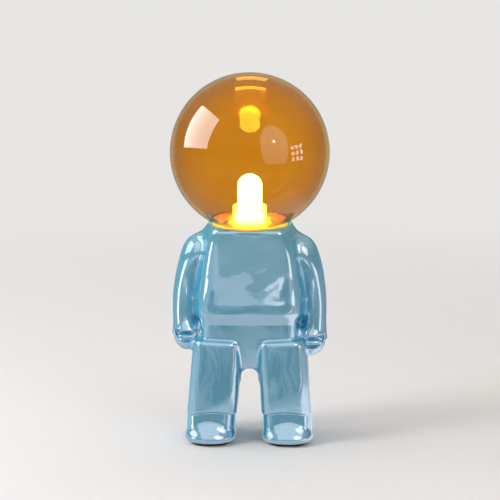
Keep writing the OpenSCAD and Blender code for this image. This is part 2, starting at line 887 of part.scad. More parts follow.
module terminal_screws() {
    sunk = 0.6;
    shank_l = terminal_d / 2 - sunk - barrel_bore_r - fit;
    color("#b9bcc0")
        for (side = [-1, 1], z = [0.25, 0.75])
            translate([side * pole_pitch / 2, terminal_y + sunk, z_terminal + z * terminal_h])
                rotate([-90, 0, 0])
                    difference() {
                        cylinder(r = terminal_screw_r, h = shank_l, $fn = round_fn);
                        translate([-terminal_screw_r, -0.25, -eps])
                            cube([2 * terminal_screw_r, 0.5, 0.6]);
                    }
}

module strap_screw() {
    color("#b9bcc0")
        translate([0, terminal_y - fit, z_strap_screw])
            rotate([-90, 0, 0]) {
                translate([0, 0, -1.6])
                    cylinder(r = strap_screw_r + 1.1, h = 1.6 + eps, $fn = round_fn);
                cylinder(r = strap_screw_r, h = terminal_d + strap_t + 4, $fn = round_fn);
                translate([0, 0, terminal_d + strap_t + 3 * fit])
                    cylinder(r = strap_screw_r + 1.6, h = 2.2, $fn = 6);
            }
}

// Route of a lead from beside its contact tail, down the nipple and into its pole
lead_sides = 10;
lead_x = lead_d * 0.56;
lead_start_x = pin_pitch / 2 - tail_r - seat_gap - lead_d / 2;
function lead_route(side) = [
    [side * lead_start_x, 0, z_core_bottom - 2 * seat_gap],
    [side * mix(lead_start_x, lead_x, 0.5), 0, z_chamber + 1],
    [side * lead_x, 0, z_chamber - 2],
    [side * lead_x, 0, z_nipple + 4],
    [side * lead_x, 0, z_nipple - 1],
    [side * lead_d * 0.9, 1, z_nipple - 6],
    [side * pole_pitch * 0.38, pole_y * 0.7, mix(z_nipple, z_terminal + terminal_h, 0.6)],
    [side * pole_pitch / 2, pole_y, z_terminal + terminal_h + 3],
    [side * pole_pitch / 2, pole_y, z_terminal + terminal_h - 1.5],
    [side * pole_pitch / 2, pole_y, z_terminal + 0.62 * terminal_h]
];

function unit(v) = v / norm(v);
function heading(path, i) =
    unit(path[min(i + 1, len(path) - 1)] - path[max(i - 1, 0)]);
function ring(p, dir, r) =
    let (u = unit(cross(dir, [0, 1, 0.001])), v = cross(dir, u), step = 360 / lead_sides)
    [for (k = [0 : lead_sides - 1]) p + r * (cos(step * k) * u + sin(step * k) * v)];
// Points of a Catmull-Rom curve through the route
function curve_point(a, b, c, d, t) =
    0.5 * (2 * b + (c - a) * t + (2 * a - 5 * b + 4 * c - d) * t * t + (3 * b - a - 3 * c + d) * t * t * t);
function curve(path, steps) = [
    for (i = [0 : len(path) - 2], s = [0 : steps - 1])
        curve_point(path[max(i - 1, 0)], path[i], path[i + 1], path[min(i + 2, len(path) - 1)], s / steps),
    path[len(path) - 1]
];

module sweep(path, d) {
    n = len(path);
    points = [for (i = [0 : n - 1]) each ring(path[i], heading(path, i), d / 2)];
    side_faces = [
        for (i = [0 : n - 2], k = [0 : lead_sides - 1])
            let (a = i * lead_sides + k, b = i * lead_sides + (k + 1) % lead_sides)
            each [[a, b + lead_sides, b], [a, a + lead_sides, b + lead_sides]]
    ];
    first = [for (k = [1 : lead_sides - 2]) [0, k, k + 1]];
    base = (n - 1) * lead_sides;
    last = [for (k = [1 : lead_sides - 2]) [base, base + k + 1, base + k]];
    polyhedron(points = points, faces = concat(side_faces, first, last));
}

module live_lead() { color("#7a4a2a") sweep(curve(lead_route(1), 3), lead_d); }
module neutral_lead() { color("#2f5fa8") sweep(curve(lead_route(-1), 3), lead_d); }

// Grommet snapped into the back wall, where a cord goes in
module cord_bush() {
    inner = bush_y - ceramic_wall - 2 * rest_gap;
    outer = bush_y + rest_gap + bush_flange_t;
    color("#2a2a2c")
        translate([0, 0, z_bush])
            rotate([-90, 0, 0])
                difference() {
                    union() {
                        translate([0, 0, bush_y + rest_gap])
                            cylinder(d = bush_flange_d, h = bush_flange_t, $fn = round_fn);
                        translate([0, 0, inner])
                            cylinder(d = bush_d, h = outer - inner, $fn = round_fn);
                        translate([0, 0, inner - bush_flange_t])
                            cylinder(d = bush_flange_d - 1, h = bush_flange_t, $fn = round_fn);
                    }
                    translate([0, 0, inner - bush_flange_t - 1])
                        cylinder(d = bush_bore, h = 4 * bush_flange_t + ceramic_wall, $fn = round_fn);
                }
}

ceramic_body();
left_foot_pad();
right_foot_pad();
neck_cushion();
neck_plate();
glass_globe();
collar_seal();
globe_collar();
collar_gasket();
holder_sleeve();
holder_cup();
holder_core();
holder_contacts();
holder_screws();
nipple();
clamp_bar();
wiring_strap();
lock_washer();
lock_nut();
bulb_envelope();
bulb_base();
bulb_pins();
led_board();
led_chips();
terminal_block();
terminal_barrels();
terminal_screws();
strap_screw();
live_lead();
neutral_lead();
cord_bush();
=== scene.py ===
# %% [markdown]
# # A table lamp in the shape of an astronaut
# The lamp is a hollow figure of glazed ceramic. Its neck carries a lamp holder, a lit LED capsule
# and a blown globe of amber glass, which screws onto the holder's sleeve like a helmet.
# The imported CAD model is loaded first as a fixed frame. Each piece below either dresses a CAD
# node with a finish, or stands for a node with a finer mesh in the same place.

# %% The frame
import json
import math

import bmesh
import bpy
import numpy as np
from mathutils import Matrix, Vector

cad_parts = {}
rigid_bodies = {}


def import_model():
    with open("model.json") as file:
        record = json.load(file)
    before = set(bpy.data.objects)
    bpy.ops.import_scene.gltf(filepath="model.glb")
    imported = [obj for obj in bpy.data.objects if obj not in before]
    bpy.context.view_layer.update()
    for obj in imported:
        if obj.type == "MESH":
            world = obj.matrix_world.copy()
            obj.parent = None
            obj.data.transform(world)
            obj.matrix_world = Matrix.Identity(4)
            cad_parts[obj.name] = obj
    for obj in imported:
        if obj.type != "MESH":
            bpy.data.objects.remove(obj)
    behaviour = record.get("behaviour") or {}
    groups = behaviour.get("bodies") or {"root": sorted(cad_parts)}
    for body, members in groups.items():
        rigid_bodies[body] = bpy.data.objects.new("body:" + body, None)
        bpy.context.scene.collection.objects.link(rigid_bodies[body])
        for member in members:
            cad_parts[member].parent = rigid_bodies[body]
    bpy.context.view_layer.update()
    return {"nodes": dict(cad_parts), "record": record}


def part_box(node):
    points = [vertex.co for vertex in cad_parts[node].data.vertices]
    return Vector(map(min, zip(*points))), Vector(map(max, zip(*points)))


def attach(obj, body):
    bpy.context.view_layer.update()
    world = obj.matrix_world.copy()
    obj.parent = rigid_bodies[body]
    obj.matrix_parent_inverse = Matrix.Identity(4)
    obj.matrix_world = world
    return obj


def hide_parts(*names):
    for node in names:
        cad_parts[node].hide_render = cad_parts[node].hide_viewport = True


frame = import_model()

MM = 0.001
FULL_TURN = 2.0 * math.pi
scene = bpy.context.scene
scene.view_settings.view_transform = "Standard"

# %% [markdown]
# ## Node trees as Python expressions
# Shaders and Geometry Nodes are both graphs, and a graph is hard to read as a list of links.
# A small class wraps one output socket and overloads the arithmetic operators, so that
# `1 - mask` or `radius * 0.5` adds the Math nodes by itself. One method makes any other node:
# its type, its settings, then the values or links of its sockets.

# %% Wires
def forward(operation):
    """A method with the wire first, and then the other number, if there is one."""
    return lambda wire, *others: wire.math(operation, *others)


def backward(operation):
    """A method with the wire second, as in `1 - mask`."""
    return lambda wire, first: wire.net.node("ShaderNodeMath", {"operation": operation}, {0: first, 1: wire})


class Wire:
    """One output socket. Arithmetic on wires adds Math nodes to their tree."""

    __add__ = __radd__ = forward("ADD")
    __mul__ = __rmul__ = forward("MULTIPLY")
    __sub__, __rsub__ = forward("SUBTRACT"), backward("SUBTRACT")
    __truediv__ = forward("DIVIDE")
    __pow__ = forward("POWER")
    sin, cos, absolute = forward("SINE"), forward("COSINE"), forward("ABSOLUTE")

    def __init__(self, net, socket):
        self.net, self.socket = net, socket

    def __neg__(self):
        return self.math("MULTIPLY", -1.0)

    def math(self, operation, *others):
        return self.net.node("ShaderNodeMath", {"operation": operation}, dict(enumerate((self, *others))))

    def clamp(self):
        return self.math("MAXIMUM", 0.0).math("MINIMUM", 1.0)

    def ramp(self, low, high):
        """0 below low, 1 above high, and an even slope between them."""
        return ((self - low) * (1.0 / (high - low))).clamp()

    def squared_off(self, power):
        """A small power with the sign kept: it turns a circle into a soft square."""
        return self.math("SIGN") * self.absolute() ** power

    def other(self, name):
        """Another output of the same node."""
        return Wire(self.net, self.socket.node.outputs[name])


# %% Nets
MIX_FACTOR, MIX_A, MIX_B, MIX_RESULT = 0, 6, 7, 2  # sockets of a Mix node that blends colours


def rgba(value):
    return (*value, 1.0) if isinstance(value, tuple) and len(value) == 3 else value


class Net:
    """A node tree with one method for every node in it."""

    def __init__(self, tree):
        self.tree = tree

    def link(self, value, socket):
        if isinstance(value, Wire):
            self.tree.links.new(value.socket, socket)
        else:
            socket.default_value = value

    def node(self, kind, settings=None, inputs=None, out=0):
        made = self.tree.nodes.new(kind)
        for name, value in (settings or {}).items():
            setattr(made, name, value)
        for name, value in (inputs or {}).items():
            self.link(value, made.inputs[name])
        return Wire(self, made.outputs[out])

    def xyz(self, x, y, z):
        return self.node("ShaderNodeCombineXYZ", None, {0: x, 1: y, 2: z})

    def split(self, vector):
        x = self.node("ShaderNodeSeparateXYZ", None, {0: vector})
        return x, x.other("Y"), x.other("Z")

    def mix(self, factor, a, b):
        """Colour a where the factor is 0 and colour b where it is 1."""
        inputs = {MIX_FACTOR: factor, MIX_A: rgba(a), MIX_B: rgba(b)}
        return self.node("ShaderNodeMix", {"data_type": "RGBA"}, inputs, MIX_RESULT)


# %% [markdown]
# ## The camera
# The photograph was taken from a little above and almost straight in front, with a long lens:
# the globe stays a circle and the soles show no spread. The camera stands 1.7 m away,
# looks down by 12 degrees and is turned 1.5 degrees to the figure's left side.

# %% Camera
LOOK_AT = Vector((0.0, 0.0, 0.14684))
CAMERA_DISTANCE, CAMERA_AZIMUTH, CAMERA_ELEVATION = 1.7, 1.5, 12.0


def direction(azimuth, elevation):
    """A unit vector from two angles in degrees: azimuth 0 is the front, 90 the figure's left side."""
    a, e = math.radians(azimuth), math.radians(elevation)
    return Vector((math.sin(a) * math.cos(e), -math.cos(a) * math.cos(e), math.sin(e)))


toward = direction(CAMERA_AZIMUTH, CAMERA_ELEVATION)
lens = bpy.data.cameras.new("camera")
lens.lens, lens.sensor_width, lens.shift_x = 161.7, 36.0, 0.0004
camera = bpy.data.objects.new("camera", lens)
camera.location = LOOK_AT + toward * CAMERA_DISTANCE
camera.rotation_euler = toward.to_track_quat("Z", "Y").to_euler()
scene.collection.objects.link(camera)
scene.camera = camera
print("camera at", [round(v, 3) for v in camera.location])

# %% [markdown]
# ## Finishes
# A finish is a material whose Principled shader is fed by small networks. Every network reads
# Object coordinates, so a pattern sits in the piece and keeps its real size. `grain` gives a noise
# of a stated size in millimetres, `mix` blends two colours, and `relief` turns a height into a
# bump. Numbers that are the same all over the piece are set on the shader itself.

# %% Finish helper
class Finish(Net):
    def __init__(self, name, **constants):
        self.material = bpy.data.materials.new(name)
        self.material.use_nodes = True
        super().__init__(self.material.node_tree)
        self.shader = self.tree.nodes["Principled BSDF"]
        for socket, value in constants.items():
            self.feed(socket.replace("_", " "), value)
        self.place = self.node("ShaderNodeTexCoord", None, None, "Object")

    def feed(self, socket, value):
        self.link(rgba(value), self.shader.inputs[socket])

    def stretch(self, x, y, z):
        return self.node("ShaderNodeMapping", None, {"Vector": self.place, "Scale": (x, y, z)})

    def grain(self, size_mm, detail=2.0, roughness=0.5, distortion=0.0, at=None):
        inputs = {"Vector": at or self.place, "Scale": 1.0 / MM / size_mm, "Detail": detail,
                  "Roughness": roughness, "Distortion": distortion}
        return self.node("ShaderNodeTexNoise", None, inputs)

    def cells(self, size_mm):
        return self.node("ShaderNodeTexVoronoi", None, {"Vector": self.place, "Scale": 1.0 / MM / size_mm})

    def attribute(self, name):
        return self.node("ShaderNodeAttribute", {"attribute_name": name}, None, "Fac")

    def relief(self, height, depth_mm, strength):
        inputs = {"Height": height, "Distance": depth_mm * MM, "Strength": strength}
        self.feed("Normal", self.node("ShaderNodeBump", None, inputs))

    def own_or(self, factor, shader):
        """Shows the Principled shader where the factor is 0 and another shader where it is 1."""
        own = Wire(self, self.shader.outputs[0])
        both = self.node("ShaderNodeMixShader", None, {0: factor, 1: own, 2: shader})
        self.link(both, self.tree.nodes["Material Output"].inputs["Surface"])


# %% [markdown]
# ## The glaze
# The figure has a pearl lustre glaze: a blue glaze under a thin skin that mirrors almost like metal.
# A metallic shader would be the first idea, but it tints every reflection with its own blue, and here
# the brightest ones stay white. So the glaze is a blue dielectric with a very high index of refraction,
# which mirrors about 40 % even straight on. The glaze runs off sharp edges and pools in the
# creases: the mesh carries that as two attributes, `pool` and `edge`.

# %% Lustre glaze and bare clay
DEEP_BLUE, LIGHT_BLUE = (0.018, 0.310, 0.460), (0.038, 0.370, 0.530)
POOLED_BLUE, THIN_BLUE = (0.020, 0.400, 0.620), (0.240, 0.500, 0.620)
CLAY_DARK, CLAY_LIGHT = (0.62, 0.57, 0.50), (0.74, 0.70, 0.63)


def lustre_glaze():
    f = Finish("lustre_glaze", IOR=4.6, Specular_Tint=(0.90, 0.92, 1.0))
    cloud = f.grain(46.0, detail=3.0, roughness=0.55, distortion=0.6)
    fleck = f.grain(7.0)
    tone = f.mix(cloud.ramp(0.32, 0.68), DEEP_BLUE, LIGHT_BLUE)
    tone = f.mix(f.attribute("pool").ramp(0.12, 0.75), tone, POOLED_BLUE)
    tone = f.mix(f.attribute("edge").ramp(0.10, 0.80) * 0.5, tone, THIN_BLUE)
    f.feed("Base Color", tone)
    f.feed("Roughness", 0.030 + 0.04 * cloud.ramp(0.3, 0.7) + 0.03 * fleck)
    f.relief(f.grain(11.0, detail=1.0) + 0.35 * f.grain(4.5, detail=1.0), depth_mm=0.16, strength=0.55)
    return f.material


def bare_clay():
    f = Finish("bare_clay", Specular_IOR_Level=0.3)
    speck = f.grain(1.4, detail=3.0)
    f.feed("Base Color", f.mix(speck.ramp(0.35, 0.7), CLAY_DARK, CLAY_LIGHT))
    f.feed("Roughness", 0.78 + 0.15 * speck)
    f.relief(speck, depth_mm=0.12, strength=0.6)
    return f.material


def lit_dish():
    """Pale slip under the globe, with the capsule's light painted on as a yellow tone and a glow."""
    f = Finish("lit_dish", Roughness=0.5, Emission_Strength=1.0)
    speck = f.grain(2.2, detail=3.0)
    # The yellow tone and the emission are painted light from the capsule.
    f.feed("Base Color", f.mix(speck, (0.74, 0.68, 0.24), (0.64, 0.58, 0.18)))
    f.feed("Emission Color", f.mix(speck.ramp(0.3, 0.7), (0.90, 0.80, 0.04), (0.72, 0.62, 0.03)))
    f.relief(speck, depth_mm=0.05, strength=0.5)
    return f.material


GLAZE, CLAY, DISH = lustre_glaze(), bare_clay(), lit_dish()
print("glaze nodes:", len(GLAZE.node_tree.nodes))

# %% [markdown]
# ## The figure as a field of distances
# The real figure is slip-cast: its forms run into each other in soft creases, with no edge anywhere.
# Joined boxes with bevels would need handwork at each crease. A distance field gives the creases for
# nothing: each form is a formula for the distance to its surface, negative inside, and a smooth
# minimum joins two forms with a fillet of a chosen size. The heights come from the CAD nodes, so the
# figure meets its plate, bush and pads. Sizes are in millimetres, widths and depths from the middle.

# %% Measures from the frame
DISH_GAP = 1.5
LEDGE_GAP, RECESS_GAP = 0.15, 0.4
WALL = 4.0


def span(node):
    low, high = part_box(node)
    return np.array(low) / MM, np.array(high) / MM


Z_SOLE = span("ceramic_body")[0][2]
globe_high = span("glass_globe")[1]
GLOBE_R = globe_high[0]
Z_GLOBE = globe_high[2] - GLOBE_R
plate_low, plate_high = span("neck_plate")
Z_LEDGE, RECESS_R = plate_low[2] - LEDGE_GAP, plate_high[0] + RECESS_GAP
bush_low, bush_high = span("cord_bush")
Z_BUSH = (bush_low[2] + bush_high[2]) / 2
print("globe radius %.1f at %.1f, ledge at %.2f, sole at %.2f mm" % (GLOBE_R, Z_GLOBE, Z_LEDGE, Z_SOLE))


# %% Joining distances
def join(a, b, fillet):
    """Smooth minimum: the two forms melt into each other over the fillet's width."""
    h = np.clip(0.5 + 0.5 * (b - a) / fillet, 0.0, 1.0)
    return b + (a - b) * h - fillet * h * (1.0 - h)


def meet(a, b, fillet):
    """Smooth maximum: keeps what lies inside both, with a rounded edge."""
    return -join(-a, -b, fillet)


def cut(a, b, fillet):
    """Takes form b away from form a, with a rounded edge."""
    return -join(-a, b, fillet)


# %% Shaping distances
def ease(t):
    t = np.clip(t, 0.0, 1.0)
    return t * t * (3.0 - 2.0 * t)


def change(t, start, end, first, last):
    """Runs softly from the first to the last value while t goes from start to end."""
    return first + (last - first) * ease((t - start) / (end - start))


def corner(u, v, radius):
    """The sides u and v of a block, with a rounded edge between them."""
    u, v = u + radius, v + radius
    return np.minimum(np.maximum(u, v), 0.0) + np.hypot(np.maximum(u, 0.0), np.maximum(v, 0.0)) - radius


def slab(t, half):
    return np.abs(t) - half


def between(z, low, high):
    return slab(z - (low + high) / 2, (high - low) / 2)


def blob(x, y, z, centre, axes):
    """An ellipsoid with its centre and its half-axes."""
    p, q, s = ((t - c) / r for t, c, r in zip((x, y, z), centre, axes))
    near = np.sqrt(p * p + q * q + s * s)
    steep = np.sqrt((p / axes[0]) ** 2 + (q / axes[1]) ** 2 + (s / axes[2]) ** 2)
    return near * (near - 1.0) / np.maximum(steep, 1e-6)


# %% Torso
CHEST_DEPTH, SIDE_X = 29.4, 42.6
FALL, FALL_X = 0.5, 24.0  # the chest falls back by this much at this distance from its middle
BOW, BOW_Z = 0.00045, 132.0  # its bow up and down, and the height where it is fullest
TUCK, TUCK_Z = 0.013, 111.0  # the belly curves in below this height
PANEL_X, PANEL_Z, PANEL_TAPER = 30.6, 114.0, 0.075
BEVEL_X, BEVEL_Y = 0.766, 0.643  # the normal of the bevel beside the chest panel, turned by 40 degrees
SIDE_BOW, SIDE_Z = 0.0034, 105.0
TORSO_Z = (92.4, 169.0)


def torso(x, y, z):
    across, deep = np.abs(x), np.abs(y)
    back = FALL * (x / FALL_X) ** 2 + BOW * (z - BOW_Z) ** 2 + TUCK * np.maximum(TUCK_Z - z, 0.0) ** 2
    front = deep - CHEST_DEPTH + back
    panel_edge = PANEL_X - PANEL_TAPER * (z - PANEL_Z)
    bevel = BEVEL_X * (across - panel_edge) + BEVEL_Y * (deep - CHEST_DEPTH)
    side = across - SIDE_X + SIDE_BOW * (z - SIDE_Z) ** 2
    panel = meet(front, bevel, fillet=change(z, 110.0, 160.0, 6.5, 4.5))
    plan = meet(panel, side, fillet=9.0)
    return corner(plan, between(z, *TORSO_Z), radius=change(z, 112.0, 158.0, 11.5, 4.5))


# %% Hips and neck
HIP_X, HIP_DEPTH, HIP_Z = 36.0, 20.8, (52.0, 104.0)
HIP_FLARE, HIP_FLARE_Z = 0.165, 80.0  # the block gets deeper above this height
HIP_FALL, HIP_FALL_X = 0.8, 30.0
FORK_X, FORK_Z = 15.0, (45.0, 84.0)
NECK_X, NECK_DEPTH, NECK_Z = 30.6, 28.6, (152.0, 174.0)
FLARE_Z, FLARE_H = 171.0, 12.0  # the neck widens into the shoulders from here down
FLARE_SLOPE, FLARE_CURVE = 0.35, 0.030
NARROW_Z, NARROW_SLOPE = 165.0, 0.55  # and gets shallower, so that the chest stays flat
TRIM_DEPTH, TRIM_Z, TRIM_SLOPE = 28.8, 166.0, 1.2
NECK_SCALE = 30.0  # turns the ellipse's ratio into a distance


def hips(x, y, z):
    """A block that gets deeper upwards, with a fork that reaches down between the legs."""
    front = np.abs(y) + HIP_FALL * (x / HIP_FALL_X) ** 2 - HIP_FLARE * (z - HIP_FLARE_Z) - HIP_DEPTH
    block = corner(corner(slab(x, HIP_X), front, radius=7.0), between(z, *HIP_Z), radius=6.0)
    fork = np.maximum(corner(slab(x, FORK_X), front, radius=3.0), between(z, *FORK_Z))
    return np.minimum(block, fork)


def neck(x, y, z):
    below = np.clip(FLARE_Z - z, 0.0, FLARE_H)
    half = NECK_X + FLARE_SLOPE * below + FLARE_CURVE * below ** 2
    depth = NECK_DEPTH - NARROW_SLOPE * np.maximum(NARROW_Z - z, 0.0)
    ring = (np.hypot(x / half, y / depth) - 1.0) * NECK_SCALE
    ring = np.maximum(ring, np.abs(y) - TRIM_DEPTH + TRIM_SLOPE * np.maximum(TRIM_Z - z, 0.0))
    return corner(ring, between(z, *NECK_Z), radius=1.0)


# %% Legs
LEG_X, LEG_SPLAY, LEG_TOP = 24.2, 0.060, 80.0
LEG_HALF, LEG_DEPTH = 19.2, 24.8
THIGH_TAPER, THIGH_Z, THIGH_H = 1.6, 46.0, 34.0
LEG_FALL, LEG_FALL_X = 0.9, 16.0
LEG_TOP_TILT = 0.04
CUFF_Z, CUFF_ARC, CUFF_HALF = 23.0, 2.6, 17.0
ARCH_X, ARCH_TOP = 6.5, 57.6
ARCH_SPREAD, SPREAD_Z = 0.00155, 52.0


def leg(x, y, z):
    """Both trouser legs, with an arched cuff over the boot."""
    across = np.abs(x) - (LEG_X + LEG_SPLAY * (LEG_TOP - z))
    half = LEG_HALF - THIGH_TAPER * (np.maximum(z - THIGH_Z, 0.0) / THIGH_H) ** 2
    front = np.abs(y) + LEG_FALL * (across / LEG_FALL_X) ** 2 - LEG_DEPTH
    cuff = CUFF_Z + CUFF_ARC * (1.0 - (across / CUFF_HALF) ** 2)
    ends = np.maximum(z - LEG_TOP - LEG_TOP_TILT * np.abs(x), cuff - z)
    return corner(corner(slab(across, half), front, radius=8.5), ends, radius=change(z, 34.0, 58.0, 1.8, 3.4))


def arch(x, z):
    """The gap between the legs: a tunnel with a round top."""
    half = ARCH_X + ARCH_SPREAD * np.maximum(SPREAD_Z - z, 0.0) ** 2
    return corner(slab(x, half), z - ARCH_TOP, radius=6.0)


# %% Boots
BOOT_X = 29.4
ANKLE_X, ANKLE_HALF, ANKLE_SPLAY, SPLAY_Z = 0.8, 18.1, 0.03, 30.0
ANKLE_DEPTH, ANKLE_SLOPE, ANKLE_Z = 22.7, 0.17, (5.0, 32.0)
SLOPE_Z, SLOPE_REACH = 26.0, (-2.0, 12.0)
SOLE_X, SOLE_Y, SOLE_FORWARD, SOLE_TOP = 18.5, 28.8, 0.9, 8.6
SOLE_UNDER = 0.2
TOE_AT, TOE_AXES = (0.0, -16.3, 4.8), (18.0, 14.0, 12.0)


def boot(x, y, z):
    """A rounded sole, the ball of the toes and a straight ankle."""
    across = np.abs(x) - BOOT_X
    front = np.abs(y) - ANKLE_DEPTH - ANKLE_SLOPE * np.clip(SLOPE_Z - z, *SLOPE_REACH)
    sides = slab(across + ANKLE_X - ANKLE_SPLAY * (SPLAY_Z - z), ANKLE_HALF)
    ankle = corner(corner(sides, front, radius=10.0), between(z, *ANKLE_Z), radius=3.0)
    plan = corner(slab(across, SOLE_X), slab(y + SOLE_FORWARD, SOLE_Y), radius=15.0)
    sole = corner(plan, between(z, Z_SOLE - SOLE_UNDER, SOLE_TOP), radius=4.2)
    foot = join(sole, blob(across, y, z, TOE_AT, TOE_AXES), fillet=4.0)
    return join(foot, ankle, fillet=3.4)


# %% Arms
# The arm's middle line and its radius, from the shoulder down to the wrist.
ARM_Z = (148.0, 139.0, 128.0, 119.0, 111.0, 103.0, 96.0, 90.0, 84.0)
ARM_X = np.polyfit(ARM_Z, (37.7, 42.7, 46.6, 48.7, 49.7, 50.0, 49.8, 49.2, 48.2), 5)
ARM_R = np.polyfit(ARM_Z, (10.8, 10.2, 9.3, 8.5, 8.2, 8.2, 8.5, 9.2, 10.3), 5)
SHOULDER_Z, SHOULDER_ROUND, ARM_END = 148.8, 14.0, 80.0
ARM_FLAT = 1.4  # an arm is this much deeper than wide
SWAY = 3.0  # and its lower part comes forward by this much


def arm(x, y, z):
    height = np.maximum(join(z, np.full_like(z, SHOULDER_Z), fillet=SHOULDER_ROUND), ARM_END)
    lean = 1.0 / np.sqrt(1.0 + np.polyval(np.polyder(ARM_X), height) ** 2)
    aside = (np.abs(x) - np.polyval(ARM_X, height)) * lean
    deep = (y + change(z, 130.0, 90.0, 0.0, SWAY)) / ARM_FLAT
    over = np.maximum(z - height, 0.0)
    return np.sqrt(aside ** 2 + deep ** 2 + over ** 2) - np.polyval(ARM_R, height)


# %% Hands
HAND_X, HAND_TOP = 47.2, 82.0
PALM_AT, PALM_AXES = (HAND_X, -4.6, 81.0), (10.7, 14.0, 12.4)
MOON_Z, MOON_X_R, MOON_Z_R = 85.6, 9.0, 9.4
LIP_Z, LIP_X, LIP_TILT, GRIP_Y = 85.4, 47.0, 0.05, 9.5
ROLL_AT, ROLL_AXES = (47.0, -9.5, 79.6), (8.5, 4.6, 3.4)
WEB_X, WEB_ROUND = 39.0, 4.0
WEB_HIGH, WEB_LOW = (9.5, 5.0, 3.0), (6.0, 9.5, -2.0)  # half width, half depth, and how far back
WEB_HIGH_Z, WEB_LOW_Z = (76.0, 140.0), (70.0, 91.0)


def wrist(x):
    """The figure's right hand sits a little higher than its left one."""
    return change(x, -20.0, 20.0, 2.0, -2.0)


def hand(x, y, z):
    """A mitten with a half-moon grip: a flat lip above, a round one below and a roll inside."""
    across, level = np.abs(x), z - wrist(x)
    tube = np.maximum(arm(x, y, z), HAND_TOP - level)
    mitten = join(tube, blob(across, y, level, PALM_AT, PALM_AXES), fillet=2.6)
    moon = (np.hypot((across - HAND_X) / MOON_X_R, (level - MOON_Z) / MOON_Z_R) - 1.0) * MOON_X_R
    grip = meet(moon, level - LIP_Z - LIP_TILT * (across - LIP_X), fillet=1.0)
    hollow = cut(mitten, np.maximum(grip, y + GRIP_Y), fillet=2.0)
    return join(hollow, blob(across, y, level, ROLL_AT, ROLL_AXES), fillet=1.2)


def web(x, y, z):
    """Closes the gap between arm and body behind the crease, as the mould does."""
    across = np.abs(x) - WEB_X
    high, low = (corner(slab(across, wide), slab(y - back, deep), WEB_ROUND)
                 for wide, deep, back in (WEB_HIGH, WEB_LOW))
    high = corner(high, between(z, *WEB_HIGH_Z), WEB_ROUND)
    low = corner(low, between(z - wrist(x), *WEB_LOW_Z), WEB_ROUND)
    return join(high, low, fillet=3.0)


# %% The whole figure, hollow and cut for its fittings
ARM_TO_HAND = 100.0
DISH_LOW = 150.0
ROOF, NECK_BORE, BORE_H = 6.5, 4.0, 14.0
HOLLOW_LOW, BUSH_R, BUSH_FROM_Y = 84.0, 5.4, 15.0


def figure(x, y, z):
    trunk = join(torso(x, y, z), neck(x, y, z), fillet=3.0)
    thighs = cut(join(hips(x, y, z), leg(x, y, z), fillet=2.4), arch(x, z), fillet=5.0)
    lower = join(thighs, boot(x, y, z), fillet=0.9)
    limbs = join(np.where(z > ARM_TO_HAND, arm(x, y, z), hand(x, y, z)), web(x, y, z), fillet=3.0)
    return join(join(trunk, lower, fillet=3.0), limbs, fillet=3.6)


def hand_made(x, y, z):
    """The slow waves that a plaster mould and a poured glaze leave on every face."""
    ripple = 0.20 * np.sin(x / 6.4 + 1.3 * np.sin(z / 13.0)) * np.sin(z / 8.6 + 0.7) * np.cos(y / 9.0)
    return ripple + 0.13 * np.sin(z / 12.0 + x / 9.0 + 2.1) + 0.12 * np.sin(y / 7.0 - z / 11.0 + x / 15.0)


def ceramic(x, y, z):
    inside = figure(x, y, z)
    rho = np.hypot(x, y)
    dish = np.sqrt(rho ** 2 + (z - Z_GLOBE) ** 2) - GLOBE_R - DISH_GAP
    skin = cut(inside + hand_made(x, y, z), np.maximum(dish, DISH_LOW - z), fillet=1.4)
    skin = cut(skin, np.maximum(rho - RECESS_R, Z_LEDGE - z), fillet=0.8)
    cavity = np.maximum(np.maximum(inside + WALL, z - Z_LEDGE + ROOF), HOLLOW_LOW - z)
    bore = np.maximum(rho - RECESS_R + NECK_BORE, Z_LEDGE - BORE_H - z)
    bush = np.maximum(np.hypot(x, z - Z_BUSH) - BUSH_R, BUSH_FROM_Y - y)
    skin = cut(skin, np.minimum(np.minimum(cavity, bore), bush), fillet=0.8)
    return meet(skin, Z_SOLE - z, fillet=1.2)


# %% [markdown]
# ## From field to mesh
# Blender's own remesher knows nothing of the formula and would leave steps. Surface nets are short
# to write: a grid is laid over the field, each cell that the surface crosses gets one vertex, and each
# grid edge that it crosses gets one face. The vertices are then drawn onto the exact surface along
# the field's slope, which also gives the normals. The grid is finer in height where forms are small.

# %% Surface nets
CORNERS = np.array([(i, j, k) for i in (0, 1) for j in (0, 1) for k in (0, 1)])
AXES = np.eye(3, dtype=int)


def crossings(value, where):
    """One point for each cell: the mean of the places where its edges cross the surface."""
    total, hits = np.zeros((len(value), 3)), np.zeros(len(value))
    edges = [(a, b) for a in range(8) for b in range(a + 1, 8) if np.abs(CORNERS[a] - CORNERS[b]).sum() == 1]
    for a, b in edges:
        crossed = (value[:, a] < 0) != (value[:, b] < 0)
        t = value[:, a] / np.where(crossed, value[:, a] - value[:, b], 1.0)
        place = where[:, a] + (where[:, b] - where[:, a]) * t[:, None]
        total += np.where(crossed[:, None], place, 0.0)
        hits += crossed
    return total / hits[:, None]


def net_faces(inside, number, axis):
    """One face for each grid edge along an axis that the surface crosses, turned to face outwards."""
    u, v = AXES[(axis + 1) % 3], AXES[(axis + 2) % 3]
    here = np.moveaxis(inside, axis, 0)
    edges = np.argwhere(np.moveaxis(here[:-1] != here[1:], 0, axis))
    across, along = edges @ u, edges @ v
    edges = edges[(across > 0) & (along > 0) & (across < number.shape @ u) & (along < number.shape @ v)]
    quads = np.stack([number[tuple(e.T)] for e in (edges - u - v, edges - v, edges, edges - u)], 1)
    return np.where(inside[tuple(edges.T)][:, None], quads, quads[:, ::-1])


